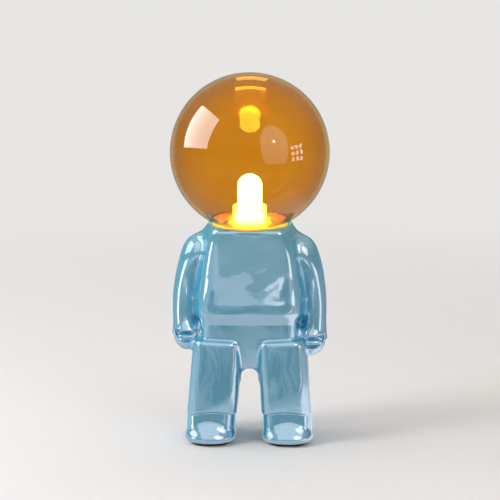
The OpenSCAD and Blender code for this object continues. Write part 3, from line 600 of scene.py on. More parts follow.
def surface_net(field, *rulers):
    f = field(*np.meshgrid(*rulers, indexing="ij"))
    inside = f < 0
    n = np.array(f.shape) - 1
    count = sum(inside[i:i + n[0], j:j + n[1], k:k + n[2]].astype(np.int8) for i, j, k in CORNERS)
    cells = np.argwhere((count > 0) & (count < len(CORNERS)))
    number = np.full(n, -1)
    number[tuple(cells.T)] = np.arange(len(cells))
    value = np.stack([f[tuple((cells + c).T)] for c in CORNERS], 1)
    places = [np.stack([ruler[cells[:, i] + c[i]] for i, ruler in enumerate(rulers)], 1) for c in CORNERS]
    faces = [net_faces(inside, number, axis) for axis in range(3)]
    return crossings(value, np.stack(places, 1)), np.concatenate(faces)


# %% The figure's points and faces
GRID_X, GRID_Y = (-61.0, 61.0, 1.16), (-33.5, 33.5, 1.12)  # from, to and step
GRID_Z = ((0.8, 34.0, 1.05), (34.0, 68.0, 1.4), (68.0, 100.0, 0.92), (100.0, 152.0, 1.4), (152.0, 171.0, 0.8))
GRID_NUDGE = 0.013  # keeps grid points off the middle plane
SLOPE_STEP, LONGEST_MOVE = 0.12, 0.5


def ruled(*runs):
    lines = [np.linspace(a, b, max(int(round((b - a) / step)), 1), endpoint=False) for a, b, step in runs]
    return np.concatenate(lines + [[runs[-1][1]]])


def slope(field, p):
    steps = SLOPE_STEP * np.eye(3)
    return np.stack([(field(*(p + s).T) - field(*(p - s).T)) / (2 * SLOPE_STEP) for s in steps], 1)


points, quads = surface_net(ceramic, ruled(GRID_X) + GRID_NUDGE, ruled(GRID_Y), ruled(*GRID_Z))
for _ in range(3):
    steep = slope(ceramic, points)
    far = ceramic(*points.T) / np.maximum((steep ** 2).sum(1), 0.1)
    points = points - steep * np.clip(far, -LONGEST_MOVE, LONGEST_MOVE)[:, None]
off = np.abs(ceramic(*points.T)).max()
print("figure: %d points, %d faces, off by up to %.3f mm" % (len(points), len(quads), off))


# %% [markdown]
# The field also says where glaze pools. Three millimetres out along the normal the distance should
# be three: in a crease it is less, because another form is near. The same test inwards finds
# edges, where the glaze has run thin. Faces of the hollow and the foot are left as bare clay.

# %% The figure's object
PROBE = 3.0
UNDER_GLAZE, CLAY_R, CLAY_OVER_LEDGE, CLAY_OVER_SOLE = 1.2, 60.0, 1.5, 0.25
DISH_BAND, DISH_R, DISH_TOP = 0.7, 28.0, 175.0
GLAZE_SLOT, CLAY_SLOT, DISH_SLOT = 0, 1, 2


def add_piece(name, mesh, body, materials, node):
    """One finished piece: it sits at the origin, rides a body and stands for a CAD node."""
    piece = bpy.data.objects.new(name, mesh)
    scene.collection.objects.link(piece)
    for material in materials:
        mesh.materials.append(material)
    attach(piece, body)
    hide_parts(node)
    return piece


def face_slots(centres):
    """Glaze outside, clay in the hollow and under the feet, and slip with painted lamplight in the dish under
    the globe.
    """
    rho, z = np.hypot(centres[:, 0], centres[:, 1]), centres[:, 2]
    bare = (figure(*centres.T) < -UNDER_GLAZE) & (rho < CLAY_R) & (z < Z_LEDGE + CLAY_OVER_LEDGE)
    bare |= z < Z_SOLE + CLAY_OVER_SOLE
    from_dish = np.linalg.norm(centres - (0.0, 0.0, Z_GLOBE), axis=1) - GLOBE_R - DISH_GAP
    dish = (np.abs(from_dish) < DISH_BAND) & (rho < DISH_R) & (z < DISH_TOP)
    return np.where(dish, DISH_SLOT, np.where(bare, CLAY_SLOT, GLAZE_SLOT)).astype(np.int32)


normals = slope(ceramic, points)
normals /= np.linalg.norm(normals, axis=1, keepdims=True)
pool = np.clip(1.0 - figure(*(points + PROBE * normals).T) / PROBE, 0.0, 1.0)
edge = np.clip(1.0 + figure(*(points - PROBE * normals).T) / PROBE, 0.0, 1.0)
slots = face_slots(points[quads].mean(1))
figure_mesh = bpy.data.meshes.new("glazed_figure")
figure_mesh.from_pydata((points * MM).tolist(), [], quads.tolist())
for name, values in (("pool", pool), ("edge", edge)):
    figure_mesh.attributes.new(name, "FLOAT", "POINT").data.foreach_set("value", values.astype(np.float32))
figure_mesh.polygons.foreach_set("material_index", slots)
figure_mesh.shade_smooth()
figure_mesh.normals_split_custom_set_from_vertices(normals.tolist())
looks = [GLAZE, CLAY, DISH]
glazed_figure = add_piece("glazed_figure", figure_mesh, "stand", looks, "ceramic_body")
print("bare clay faces:", int((slots == CLAY_SLOT).sum()))

# %% [markdown]
# ## Turned pieces by Geometry Nodes
# The globe, the capsule, the sleeve and the rings are all turned: one profile swept round an axis.
# A Geometry Nodes tree starts from a flat grid, reads each point's place on it as two numbers
# from 0 to 1, and sets a new position from formulas. The sizes are named inputs of the tree. The
# result is turned into a plain mesh, its seam is welded, and the modifier goes.

# %% Lathe helper
SEAM, DOUBLES, SLIVER = 2e-6, 1e-6, 1e-7


def outward(mesh):
    """Welds the seam and makes every face of a closed mesh point outwards."""
    bm = bmesh.new()
    bm.from_mesh(mesh)
    bmesh.ops.remove_doubles(bm, verts=bm.verts, dist=DOUBLES)
    bmesh.ops.dissolve_degenerate(bm, edges=bm.edges, dist=SLIVER)
    if bm.calc_volume(signed=True) < 0:
        bmesh.ops.reverse_faces(bm, faces=bm.faces)
    bm.to_mesh(mesh)
    bm.free()
    mesh.shade_smooth()
    return mesh


class Lathe(Net):
    """A grid moved by formulas of u, round the axis, and v, along the profile. Sizes become attributes."""

    def __init__(self, name, material, around, along, **sizes):
        super().__init__(bpy.data.node_groups.new(name, "GeometryNodeTree"))
        self.name, self.material, self.sizes = name, material, sizes
        add_socket = self.tree.interface.new_socket
        add_socket("Geometry", in_out="OUTPUT", socket_type="NodeSocketGeometry")
        made = [add_socket(k, in_out="INPUT", socket_type="NodeSocketFloat") for k in sizes]
        self.ids = {socket.name: socket.identifier for socket in made}
        inputs = self.tree.nodes.new("NodeGroupInput")
        for key in sizes:
            setattr(self, key.lower(), Wire(self, inputs.outputs[key]))
        self.output = self.tree.nodes.new("NodeGroupOutput")
        counts = {"Vertices X": around + 1, "Vertices Y": along + 1}
        self.grid = self.node("GeometryNodeMeshGrid", None, {"Size X": 1.0, "Size Y": 1.0, **counts})
        x, y, _ = self.split(self.node("GeometryNodeInputPosition"))
        self.u, self.v = x + 0.5, y + 0.5
        self.angle = self.u * FULL_TURN

    def turn(self, radius, height):
        return self.xyz(radius * self.angle.cos(), radius * self.angle.sin(), height)

    def finish(self, position, extra=None):
        shape = self.node("GeometryNodeSetPosition", None, {"Geometry": self.grid, "Position": position})
        shape = self.node("GeometryNodeMergeByDistance", None, {"Geometry": shape, "Distance": SEAM})
        if extra is not None:
            joined = self.node("GeometryNodeJoinGeometry", None, {0: shape})
            self.tree.links.new(extra.socket, joined.socket.node.inputs[0])
            shape = joined
        shape = self.node("GeometryNodeRealizeInstances", None, {0: shape})
        shape = self.node("GeometryNodeSetMaterial", None, {"Geometry": shape, "Material": self.material})
        self.tree.links.new(shape.socket, self.output.inputs[0])
        return self.mesh()

    def mesh(self):
        holder = bpy.data.objects.new(self.name + "_tree", bpy.data.meshes.new(self.name + "_tree"))
        scene.collection.objects.link(holder)
        modifier = holder.modifiers.new("tree", "NODES")
        modifier.node_group = self.tree
        for name, value in self.sizes.items():
            modifier[self.ids[name]] = value
        made = bpy.data.meshes.new_from_object(holder.evaluated_get(bpy.context.evaluated_depsgraph_get()))
        bpy.data.objects.remove(holder)
        made.name = self.name
        made.materials.clear()
        return outward(made)


def turned_piece(lathe, position, body, node):
    """Makes a lathe's mesh and adds it as a piece of the same name."""
    mesh = lathe.finish(position)
    print(lathe.name + ":", len(mesh.polygons), "faces")
    return add_piece(lathe.name, mesh, body, [lathe.material], node)


# %% [markdown]
# ## The amber globe
# A mouth-blown ball with an even wall and a fire-polished lip round its hole. As a shell with
# two surfaces it bends and doubles reflections as real glass does, so the capsule
# shows again upside down near the top. The tint belongs to the shader and not to a volume, because it
# then survives in any renderer. It is deeper at the rim, where the eye looks through more glass.
# Shadow rays pass almost freely, so that the capsule lights the plate below it.

# %% Amber glass
AMBER_THIN, AMBER_THICK, AMBER_RIM = (0.835, 0.505, 0.080), (0.860, 0.530, 0.092), (0.500, 0.245, 0.022)
AMBER_SHADOW = (0.95, 0.89, 0.72)
GLASS_MIRROR = (0.40, 0.40, 0.40)
GLASS_WALL, HOLE_R = 2.4, 17.0


def amber_glass():
    f = Finish("amber_glass", Transmission_Weight=1.0, IOR=1.5, Roughness=0.0, Specular_Tint=GLASS_MIRROR)
    seed = f.grain(30.0, distortion=0.4)
    tint = f.mix(seed.ramp(0.35, 0.65), AMBER_THIN, AMBER_THICK)
    rim = f.node("ShaderNodeLayerWeight", None, {"Blend": 0.5}, "Facing")
    f.feed("Base Color", f.mix(rim.ramp(0.15, 0.80), tint, AMBER_RIM))
    f.relief(f.grain(55.0, detail=1.0), depth_mm=0.25, strength=0.35)
    clear = f.node("ShaderNodeBsdfTransparent", None, {"Color": rgba(AMBER_SHADOW)})
    f.own_or(f.node("ShaderNodeLightPath", None, None, "Is Shadow Ray"), clear)
    return f.material


AMBER = amber_glass()
glass = Lathe("amber_globe", AMBER, 128, 160, Radius=GLOBE_R * MM, Wall=GLASS_WALL * MM, Centre=Z_GLOBE * MM,
              Hole=math.pi - math.asin(HOLE_R / GLOBE_R))
radius, wall, hole = glass.radius, glass.wall, glass.hole
outer, lip, inner = glass.v.ramp(0.0, 0.48), glass.v.ramp(0.48, 0.52), glass.v.ramp(0.52, 1.0)
polar = hole * (outer - inner) + wall * 0.5 / radius * (lip * math.pi).sin()
reach = radius - wall * 0.5 * (1.0 - (lip * math.pi).cos())
position = glass.turn(reach * polar.sin(), glass.centre + reach * polar.cos())
amber_globe = turned_piece(glass, position, "globe", "glass_globe")

# %% [markdown]
# ## The lit capsule
# A frosted capsule with LEDs inside: a straight wall with a round crown, glowing evenly. Its light is
# an emission on the shell, a little warmer and dimmer towards the foot, where the board's
# base shades it.

# %% Frosted capsule
FOOT_LIGHT, CROWN_LIGHT, FROST_LIGHT = (1.0, 0.80, 0.40), (0.75, 1.00, 0.55), (1.0, 0.93, 0.72)
SHELL_WALL = 1.0


def frosted_shell(foot, crown):
    f = Finish("frosted_shell", Roughness=0.45, Emission_Strength=36.0, Base_Color=(0.9, 0.88, 0.82))
    _, _, z = f.split(f.place)
    up = z.ramp(foot * MM, crown * MM)
    glow = f.mix(up.ramp(0.0, 0.35), FOOT_LIGHT, CROWN_LIGHT)
    f.feed("Emission Color", f.mix(f.grain(2.0) * 0.15, glow, FROST_LIGHT))
    f.relief(f.grain(0.6), depth_mm=0.02, strength=0.4)
    return f.material


shell_low, shell_high = span("bulb_envelope")
SHELL = frosted_shell(shell_low[2], shell_high[2])
shell = Lathe("bulb_shell", SHELL, 72, 96, Radius=shell_high[0] * MM, Foot=shell_low[2] * MM,
              Straight=(shell_high[2] - shell_low[2] - shell_high[0]) * MM, Wall=SHELL_WALL * MM)
rise_out, crown_out = shell.v.ramp(0.0, 0.2), shell.v.ramp(0.2, 0.5)
crown_in, rise_in = shell.v.ramp(0.5, 0.8), shell.v.ramp(0.8, 1.0)
bend = (crown_out - crown_in) * (math.pi / 2)
round_r = shell.radius - shell.wall * shell.v.math("GREATER_THAN", 0.5)
lift = shell.foot + shell.straight * (rise_out - rise_in) + round_r * bend.sin()
turned_piece(shell, shell.turn(round_r * bend.cos(), lift), "bulb", "bulb_envelope")

# %% [markdown]
# ## The screwed sleeve
# The globe's collar turns on a plastic sleeve with a coarse round thread. The plastic is thin
# and milky, so the glowing parts inside show through it, and the capsule's light in the plastic
# itself is painted on as a glow. A thread could be a screw modifier, but a lathe formula is shorter:
# the radius falls and rises with height minus turn, which makes the groove climb by one pitch in each turn,
# and it fades out at both ends.

# %% Threaded sleeve
PITCH, GROOVE, SLEEVE_BORE = 3.0, 0.55, 11.4
PROFILE = ((0.0, 0.66), (0.66, 0.72), (0.72, 0.94), (0.94, 1.0))  # up outside, over the top, down, under


# Milky plastic whose glow is painted light: the capsule's light in it, given as emission.
def plastic_with_painted_glow(name, colour, glow, strength, alpha):
    f = Finish(name, Roughness=0.35, Emission_Strength=strength, Alpha=alpha)
    cloud = f.grain(5.0)
    f.feed("Base Color", f.mix(cloud, colour, tuple(0.88 * c for c in colour)))
    f.feed("Emission Color", f.mix(cloud * 0.5, glow, tuple(0.8 * c for c in glow)))
    f.relief(f.grain(0.5), depth_mm=0.01, strength=0.3)
    return f.material


# The sleeve's strong yellow glow is the capsule's light, painted on as emission.
SLEEVE = plastic_with_painted_glow("sleeve_plastic", (0.85, 0.80, 0.68), (1.0, 0.78, 0.05), strength=90.0, alpha=0.16)
sleeve_low, sleeve_high = span("holder_sleeve")
sleeve = Lathe("threaded_sleeve", SLEEVE, 96, 220, Crest=sleeve_high[0] * MM, Groove=GROOVE * MM,
               Bore=SLEEVE_BORE * MM, Foot=sleeve_low[2] * MM, Height=(sleeve_high[2] - sleeve_low[2]) * MM,
               Pitch=PITCH * MM)
height = sleeve.height
rise, over, fall, under = (sleeve.v.ramp(start, end) for start, end in PROFILE)
level = rise - fall
turns = level * height / sleeve.pitch - sleeve.u
fading = level.ramp(0.12, 0.2) * (1.0 - level.ramp(0.86, 0.93))
dip = (turns * FULL_TURN).cos().ramp(0.25, 0.95) * fading
half_wall = (sleeve.crest - sleeve.bore) * 0.5
bend = (over + under) * math.pi
thread = sleeve.groove * dip * (1.0 - over)
section = sleeve.crest - half_wall + half_wall * bend.cos() - thread
lift = sleeve.foot + half_wall + (height - 2.0 * half_wall) * level + half_wall * bend.sin()
position = sleeve.turn(section, lift)
threaded_sleeve = turned_piece(sleeve, position, "stand", "holder_sleeve")

# %% [markdown]
# ## Rings round the neck
# Under the globe sit a screw collar with a ribbed grip, and a soft silicone ring that the glass rests
# on. Both are milky, and the capsule's light in them is painted on as a glow, on the ring yellow near
# the capsule and more orange further out. A ring's section is a soft square: cosine and sine keep
# their sign and are raised to a small power. The ribs repeat, so the tree sets one small bead on every point
# of a circle.

# %% Ribbed collar
RIBS, RIB_R, RIB_SINK = 64, 0.45, 0.25
RIB_FIT = 1.1  # a smaller value makes the ribs taller
COLLAR_BORE, FLANGE_H, FLANGE_GAP = 12.75, 1.8, 0.2
BARREL_GAP, BARREL_RAISE = 0.65, 0.2


def soft_square(lathe, power=0.4):
    """Two numbers from -1 to 1 that run once round a square with soft corners."""
    turn = lathe.v * FULL_TURN
    return turn.cos().squared_off(power), turn.sin().squared_off(power)


def rib_beads(ring, outer, low, high):
    """A tall bead on every point of a circle round the ring."""
    circle = ring.node("GeometryNodeMeshCircle", None, {"Vertices": RIBS, "Radius": outer - RIB_SINK * MM})
    lift = ring.xyz(0.0, 0.0, (low + high) * 0.5)
    circle = ring.node("GeometryNodeSetPosition", None, {"Geometry": circle, "Offset": lift})
    bead = ring.node("GeometryNodeMeshUVSphere", None, {"Segments": 10, "Rings": 6, "Radius": RIB_R * MM})
    tall = ring.xyz(1.0, 1.0, (high - low) / (RIB_FIT * MM))
    inputs = {"Points": circle, "Instance": bead, "Scale": tall}
    return ring.node("GeometryNodeInstanceOnPoints", None, inputs)


def ring_mesh(name, material, r_in, r_out, z_low, z_high, ribbed, power):
    ring = Lathe(name, material, 96, 40, Inner=r_in * MM, Outer=r_out * MM, Low=z_low * MM, High=z_high * MM)
    inner, outer, low, high = ring.inner, ring.outer, ring.low, ring.high
    p, q = soft_square(ring, power)
    beads = rib_beads(ring, outer, low, high) if ribbed else None
    section = (outer + inner) * 0.5 + (outer - inner) * 0.5 * p
    return ring.finish(ring.turn(section, (high + low) * 0.5 + (high - low) * 0.5 * q), beads)


def as_one(name, *meshes):
    bm = bmesh.new()
    for mesh in meshes:
        bm.from_mesh(mesh)
    joined = bpy.data.meshes.new(name)
    bm.to_mesh(joined)
    bm.free()
    joined.shade_smooth()
    return joined


# The collar's faint orange glow is the capsule's light, painted on as emission.
COLLAR = plastic_with_painted_glow("collar_plastic", (0.85, 0.60, 0.20), (1.0, 0.58, 0.09), strength=3.0, alpha=0.06)
collar_low, collar_high = span("globe_collar")
seal_r = span("collar_seal")[1][0]
flange = ring_mesh("collar_flange", COLLAR, COLLAR_BORE, collar_high[0] - FLANGE_GAP,
                   collar_low[2], collar_low[2] + FLANGE_H, ribbed=True, power=0.4)
barrel = ring_mesh("collar_barrel", COLLAR, COLLAR_BORE, seal_r - BARREL_GAP,
                   collar_low[2] + BARREL_RAISE, collar_high[2], ribbed=False, power=0.25)
collar_mesh = as_one("ribbed_collar", flange, barrel)
ribbed_collar = add_piece("ribbed_collar", collar_mesh, "globe", [COLLAR], "globe_collar")
print("collar:", len(collar_mesh.polygons), "faces")

# %% Neck ring
RING_IN, RING_OUT_EXTRA, RING_GAP, RING_HALF = 24.0, 0.6, 0.75, 0.6


def silicone_with_painted_glow():
    """Milky silicone round the capsule, with the capsule's light painted on: yellow near it, orange further
    out.
    """
    f = Finish("silicone", Roughness=0.35, Emission_Strength=0.5)
    x, y, _ = f.split(f.place)
    outward_mm = ((x * x + y * y) ** 0.5) / MM
    # Painted light: the capsule's light fades from yellow to orange outwards, in colour and glow.
    painted_light_falloff = (outward_mm + f.grain(5.0)).ramp(25.0, 28.5)
    f.feed("Base Color", f.mix(painted_light_falloff, (0.80, 0.66, 0.16), (0.82, 0.40, 0.14)))
    f.feed("Emission Color", f.mix(painted_light_falloff, (0.95, 0.85, 0.05), (1.0, 0.40, 0.03)))
    f.relief(f.grain(0.5), depth_mm=0.01, strength=0.3)
    return f.material


SILICONE = silicone_with_painted_glow()
cushion_r = span("neck_cushion")[1][0]
seat = Lathe("neck_ring", SILICONE, 128, 40, Middle=GLOBE_R * MM + RING_GAP * MM, Half=RING_HALF * MM,
             Centre=Z_GLOBE * MM, Start=math.asin(RING_IN / GLOBE_R),
             End=math.asin((cushion_r + RING_OUT_EXTRA) / GLOBE_R))
p, q = soft_square(seat)
start, end = seat.start, seat.end
lean = (start + end) * 0.5 + (end - start) * 0.5 * p
reach = seat.middle + seat.half * q
position = seat.turn(reach * lean.sin(), seat.centre - reach * lean.cos())
neck_ring = turned_piece(seat, position, "stand", "neck_cushion")

# %% [markdown]
# ## Foam feet
# Each boot stands on a thin pad of black closed-cell foam, cut a little smaller than the sole, so that
# from the front it shows only as a dark line. Its plan is a rounded block: a soft square
# again, with a softer power.

# %% Foam pads
PLAN_POWER, EDGE_POWER, FACE_POWER = 0.62, 0.16, 0.45


def foam():
    f = Finish("foam_pad", Specular_IOR_Level=0.25)
    pores = f.cells(0.9)
    f.feed("Base Color", f.mix(pores.ramp(0.1, 0.6), (0.010, 0.010, 0.011), (0.028, 0.028, 0.030)))
    f.feed("Roughness", 0.82 + 0.12 * f.grain(6.0))
    f.relief(pores, depth_mm=0.10, strength=0.6)
    return f.material


FOAM = foam()
for name, node in (("foam_left", "left_foot_pad"), ("foam_right", "right_foot_pad")):
    low, high = span(node)
    middle, half = (low + high) / 2 * MM, (high - low) / 2 * MM
    pad = Lathe(name, FOAM, 120, 36, Wide=half[0], Long=half[1], X=middle[0], Y=middle[1], Top=high[2] * MM)
    tilt = (pad.v - 0.5) * math.pi
    out = tilt.cos() ** EDGE_POWER
    x = pad.x + pad.wide * pad.angle.cos().squared_off(PLAN_POWER) * out
    y = pad.y + pad.long * pad.angle.sin().squared_off(PLAN_POWER) * out
    z = pad.top * (0.5 + 0.5 * tilt.sin().squared_off(FACE_POWER))
    turned_piece(pad, pad.xyz(x, y, z), "stand", node)

# %% [markdown]
# ## Finishes for the fittings
# The holder, the screws, the leads and the board keep their CAD shape, because it is already the
# real one. They need only a finish. Each slot of the record has one: moulded plastics with a fine
# grain, metals with drawn or turned lines and duller patches, rubber, steatite and wire enamel.
# The pieces that the capsule stands in have its light painted on as a glow.

# %% Finishes by slot
WARM_LIGHT, PHOSPHOR_LIGHT = (1.0, 0.86, 0.56), (1.0, 0.80, 0.36)


def moulded(name, light, dark, rough, grain_mm, glow=None, strength=0.0):
    f = Finish(name, Emission_Strength=strength)
    cloud, skin = f.grain(9.0, detail=3.0), f.grain(grain_mm)
    f.feed("Base Color", f.mix(cloud.ramp(0.3, 0.7), dark, light))
    f.feed("Roughness", rough - 0.06 + 0.12 * skin)
    if glow:
        f.feed("Emission Color", f.mix(cloud * 0.4, glow, tuple(0.8 * c for c in glow)))
    f.relief(skin, depth_mm=0.03, strength=0.5)
    return f.material


def metal(name, bright, dull, rough, stretch):
    f = Finish(name, Metallic=1.0)
    lines = f.grain(1.2, detail=3.0, roughness=0.6, at=f.stretch(*stretch))
    stain = f.grain(5.0, detail=3.0, roughness=0.6, distortion=0.8).ramp(0.45, 0.75)
    f.feed("Base Color", f.mix(stain, bright, dull))
    f.feed("Roughness", rough + 0.14 * lines + 0.10 * stain)
    f.relief(lines, depth_mm=0.02, strength=0.5)
    return f.material


# Light and dark tone, roughness, grain in millimetres, and the light of what glows with its strength: the
# phosphor emits, the steatite has the capsule's light painted on.
MOULDED = {
    "sealant": ((0.72, 0.69, 0.63), (0.62, 0.58, 0.51), 0.5, 1.5),
    "white_steel": ((0.84, 0.82, 0.77), (0.78, 0.76, 0.71), 0.38, 0.4),
    "holder_plastic": ((0.83, 0.81, 0.77), (0.76, 0.74, 0.70), 0.45, 0.8),
    "steatite": ((0.84, 0.82, 0.77), (0.72, 0.69, 0.63), 0.62, 0.5, WARM_LIGHT, 36.0),
    "board": ((0.80, 0.82, 0.80), (0.72, 0.74, 0.72), 0.35, 0.3),
    "phosphor": ((0.85, 0.66, 0.10), (0.78, 0.56, 0.06), 0.5, 0.2, PHOSPHOR_LIGHT, 8.0),
    "lead_brown": ((0.16, 0.065, 0.028), (0.12, 0.045, 0.020), 0.38, 1.0),
    "lead_blue": ((0.035, 0.12, 0.40), (0.025, 0.09, 0.31), 0.38, 1.0),
    "black_rubber": ((0.022, 0.022, 0.024), (0.014, 0.014, 0.015), 0.62, 0.6),
}
# Bright and dull tone, roughness, and how the drawn lines run.
METALS = {
    "contact_brass": ((0.78, 0.56, 0.24), (0.52, 0.36, 0.15), 0.22, (1.0, 1.0, 14.0)),
    "zinc_steel": ((0.62, 0.63, 0.64), (0.46, 0.47, 0.49), 0.30, (8.0, 1.0, 1.0)),
    "nickel_wire": ((0.70, 0.67, 0.62), (0.56, 0.53, 0.48), 0.18, (6.0, 6.0, 1.0)),
}
FINISHES = {"silicone": SILICONE}
FINISHES.update({name: moulded(name, *look) for name, look in MOULDED.items()})
FINISHES.update({name: metal(name, *look) for name, look in METALS.items()})
# The capsule's base has the capsule's light painted on as a warm glow.
BASE_WITH_PAINTED_GLOW = moulded("lit_base", (0.88, 0.86, 0.80), (0.82, 0.80, 0.74), 0.45, 0.8, WARM_LIGHT, 70.0)
dressed = 0
for row in frame["record"]["subparts"]:
    finish = BASE_WITH_PAINTED_GLOW if row["node"] == "bulb_base" else FINISHES.get(row["material_slot"])
    node = frame["nodes"][row["node"]]
    if finish and not node.hide_render:
        for slot in node.material_slots:
            slot.material = finish
        dressed += 1
print("CAD nodes with a finish:", dressed)

# %% [markdown]
# ## Floor and room
# The lamp stands in a small photo studio with a pale seamless floor. Near the object the floor is a
# matt surface that takes a shadow, and far away it turns to an even pale tone. The lustre glaze is a
# mirror, and what it mirrors most is this floor and the dim room behind the camera. So the
# floor shows mirrors its own picture, which the camera never sees: paler and darker areas in front of
# the figure, with edges that show as the curved lines on the chest and the streaks on the legs.

# %% Floor
PALE = (0.800, 0.785, 0.772)
PAPER_DARK, PAPER_LIGHT = (0.790, 0.775, 0.762), (0.815, 0.800, 0.787)
FLOOR_HALF = 9.0
# Tones that mirrors see, named by where they lie in front of the figure.
MIDDLE_TONE, ASIDE_TONE = (0.72, 0.73, 0.76), (0.46, 0.47, 0.50)
BRIGHT_TONE, LINE_TONE = (1.40, 1.41, 1.46), (0.46, 0.48, 0.50)
FAR_TONE, BEYOND_TONE = (0.42, 0.42, 0.42), (0.36, 0.365, 0.38)
SHADE_TONE = (0.48, 0.49, 0.51)
STREAK_DARK, STREAK_LIGHT = (0.22, 0.235, 0.25), (0.42, 0.44, 0.46)
LINE_X, LINE_HALF, LINE_WAVE, WAVE_RATE = 0.030, 0.014, 0.02, 17.0


def mirrored_floor(f, x, y):
    """The floor's picture for mirrors, in metres ahead of the figure and to its left side."""
    ahead = -y
    drift = (f.grain(140.0, distortion=1.2) - 0.5) * 0.09
    beside_leg = (x.absolute() - 0.03).absolute()
    near_edge = ahead + drift * 0.7 - 0.30 * beside_leg
    far_edge = ahead + drift + 0.35 * x
    line = x - LINE_X - LINE_WAVE * (ahead * WAVE_RATE).sin() + drift * 0.3
    tone = f.mix((x * x).ramp(0.06, 0.40), MIDDLE_TONE, ASIDE_TONE)
    tone = f.mix(line.ramp(0.0, 0.03) * (1.0 - x.ramp(0.20, 0.30)), tone, BRIGHT_TONE)
    on_line = (1.0 - line.absolute() / LINE_HALF).ramp(0.0, 0.4) * ahead.ramp(0.4, 0.5)
    tone = f.mix(on_line, tone, LINE_TONE)
    tone = f.mix(far_edge.ramp(0.665, 0.675), tone, FAR_TONE)
    tone = f.mix(ahead.ramp(1.15, 1.35).math("MAXIMUM", y.ramp(0.0, 0.3)), tone, BEYOND_TONE)
    tone = f.mix(ahead.ramp(0.118, 0.135) * (1.0 - ahead.ramp(0.17, 0.19)), tone, SHADE_TONE)
    streak = f.grain(16.0, roughness=0.6, distortion=0.8, at=f.stretch(1.0, 0.12, 1.0)).ramp(0.45, 0.62)
    band = near_edge.ramp(0.145, 0.165) * (1.0 - near_edge.ramp(0.36, 0.40)) * (0.25 - x * x).ramp(0.0, 0.12)
    return f.mix(band, tone, f.mix(streak, STREAK_DARK, STREAK_LIGHT))


def pale_floor():
    f = Finish("pale_floor", Roughness=0.9, Specular_IOR_Level=0.15)
    x, y, _ = f.split(f.place)
    f.feed("Base Color", f.mix(f.grain(3.0), PAPER_DARK, PAPER_LIGHT))
    rays = f.node("ShaderNodeLightPath")
    through = rays.other("Is Transmission Ray")
    mirrored = rays.other("Is Glossy Ray") * (1.0 - through)
    seen = (rays.other("Is Camera Ray") + mirrored + through).clamp()
    away = ((x * x + y * y) ** 0.5).ramp(0.25, 0.85)
    tone = f.mix(mirrored, PALE, mirrored_floor(f, x, y))
    even = f.node("ShaderNodeEmission", None, {"Color": tone, "Strength": 1.0})
    f.own_or((seen * away).math("MAXIMUM", mirrored), even)
    return f.material


floor_mesh = bpy.data.meshes.new("floor")
floor_corners = [(FLOOR_HALF * i, FLOOR_HALF * j, 0.0) for i, j in ((-1, -1), (1, -1), (1, 1), (-1, 1))]
floor_mesh.from_pydata(floor_corners, [], [(0, 1, 2, 3)])
floor_mesh.materials.append(pale_floor())
floor = bpy.data.objects.new("floor", floor_mesh)
scene.collection.objects.link(floor)
print("floor:", 2 * FLOOR_HALF, "m wide")

# %% Room
ROOM_LOW, ROOM_HIGH = (0.27, 0.275, 0.29), (0.50, 0.50, 0.53)
ROOM_FILL = (0.43, 0.43, 0.44)

world = bpy.data.worlds.new("studio")
world.use_nodes = True
scene.world = world
room = Net(world.node_tree)
_, behind, up = room.split(room.node("ShaderNodeTexCoord", None, None, "Generated"))
rays = room.node("ShaderNodeLightPath")
dim_room = room.mix(up.ramp(0.14, 0.50), ROOM_LOW, ROOM_HIGH)
mirror_tone = room.mix(behind.ramp(0.985, 0.999), dim_room, PALE)
through_glass = rays.other("Is Transmission Ray") * behind.ramp(-0.2, 0.2)
seen = (rays.other("Is Camera Ray") + through_glass).clamp()
tone = room.mix(rays.other("Is Diffuse Ray"), room.mix(seen, mirror_tone, PALE), ROOM_FILL)
room.link(tone, world.node_tree.nodes["Background"].inputs["Color"])
print("room nodes:", len(world.node_tree.nodes))

# %% [markdown]
# ## Lamps
# A large soft box stands on the left, a round umbrella on the right and a soft panel overhead. Glass
# and glaze mirror them, so the lamps have the shapes and places that those reflections show. One lamp
# can't give both the right light and the right mirror image, because a real camera clips the image. So
# some lamps only light, some only show in mirrors, and some of those are linked to one piece. The two
# amber glows stand in for the lit holder's inner reflections at the top of the globe, which come out
# too faint. In the same way the brightest pieces are kept from lighting the glaze.

# %% Lamps of the studio
HEAD = Vector((0.0, 0.0, Z_GLOBE * MM))
SOFT_BOX_AT, UMBRELLA_AT = (-88.0, 25.5), (38.0, 22.0)
SOFT_BOX = {"size": (1.22, 1.05), "roll": math.radians(10.0)}
PANE_STEP, PANE_SIZE, WINDOW_AT, WINDOW_FAR = (7.4, 6.8), (0.080, 0.072), (71.0, 2.9), 0.9
AMBER_LIGHT, GLOW_FAR = (1.0, 0.42, 0.03), 1.2
GLOWS = (("upper_glow", 39.0, 6.0, (0.38, 0.25)), ("lower_glow", 66.6, 20.0, (0.57, 0.15)))


def studio_lamp(name, place, glow, size, shape="RECTANGLE", roll=0.0, seen=True, lights=True, only=None,
                colour=(1.0, 1.0, 1.0)):
    """A flat lamp facing the globe. Its glow is the brightness that a mirror would show."""
    lamp = bpy.data.lights.new(name, "AREA")
    lamp.shape, lamp.color = shape, colour
    lamp.size, lamp.size_y = size
    area = size[0] * size[1] * (1.0 if shape == "RECTANGLE" else math.pi / 4)
    lamp.energy = glow * math.pi * area
    holder = bpy.data.objects.new(name, lamp)
    aim = (Vector(place) - HEAD).to_track_quat("Z", "Y").to_matrix() @ Matrix.Rotation(roll, 3, "Z")
    holder.matrix_world = Matrix.Translation(place) @ aim.to_4x4()
    holder.visible_glossy, holder.visible_diffuse = seen, lights
    holder.visible_camera = holder.visible_transmission = False
    scene.collection.objects.link(holder)
    if only:
        holder.light_linking.receiver_collection = bpy.data.collections.new(name + "_receivers")
        holder.light_linking.receiver_collection.objects.link(only)


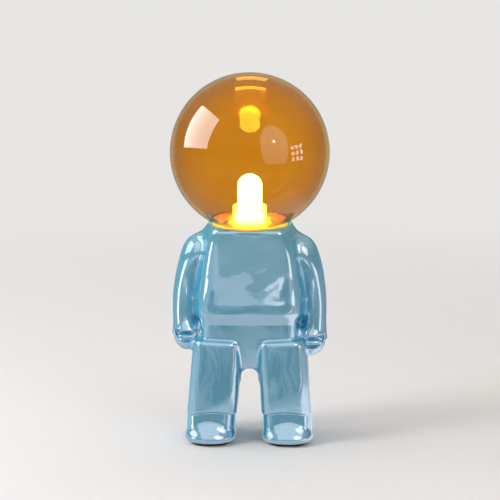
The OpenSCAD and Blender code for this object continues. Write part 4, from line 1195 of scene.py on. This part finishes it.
def image(name, place, glow, size, **options):
    """A lamp that lights nothing and only shows in mirrors."""
    studio_lamp(name, place, glow, size, lights=False, **options)


def from_head(azimuth, elevation, distance):
    return HEAD + distance * direction(azimuth, elevation)


studio_lamp("soft_box", from_head(*SOFT_BOX_AT, 1.40), 2.3, seen=False, **SOFT_BOX)
studio_lamp("key", from_head(-64.0, 36.0, 1.5), 12.5, (0.45, 0.45), seen=False)
image("soft_face", from_head(*SOFT_BOX_AT, 1.39), 16.5, only=amber_globe, **SOFT_BOX)
image("soft_glint", from_head(*SOFT_BOX_AT, 1.38), 1.4, **SOFT_BOX)
studio_lamp("umbrella", from_head(*UMBRELLA_AT, 1.50), 1.2, (1.14, 1.14), "DISK")
image("umbrella_face", from_head(38.0, 14.0, 1.49), 3.2, (1.10, 1.80), shape="ELLIPSE", only=amber_globe)
for row in range(3):
    for column in range(3):
        azimuth = WINDOW_AT[0] + PANE_STEP[0] * (column - 1)
        elevation = WINDOW_AT[1] + PANE_STEP[1] * (row - 1)
        pane = from_head(azimuth, elevation, WINDOW_FAR)
        image("window_%d_%d" % (row, column), pane, 12.0, PANE_SIZE, only=amber_globe)
for name, elevation, glow, size in GLOWS:
    image(name, from_head(180.0, elevation, GLOW_FAR), glow, size, only=amber_globe, colour=AMBER_LIGHT)
image("umbrella_bulb", from_head(*UMBRELLA_AT, 1.45), 60.0, (0.09, 0.09), shape="DISK")
image("left_strip", (-0.70, -0.20, 0.03), 2.3, (0.24, 0.20), only=glazed_figure)
image("right_strip", (0.56, -0.22, 0.03), 1.3, (0.22, 0.20), only=glazed_figure)
image("front_wall", (0.0, -1.5, 1.6), 0.56, (2.6, 3.3), only=glazed_figure)
studio_lamp("overhead", (0.1, 0.5, 2.3), 1.0, (1.9, 1.7), seen=False)
for hot in (threaded_sleeve, ribbed_collar, neck_ring):
    unlit = bpy.data.collections.new(hot.name + "_receivers")
    hot.light_linking.receiver_collection = unlit
    for cool in (glazed_figure, neck_ring):
        unlit.objects.link(cool)
    for entry in unlit.collection_objects:
        entry.light_linking.link_state = "EXCLUDE"
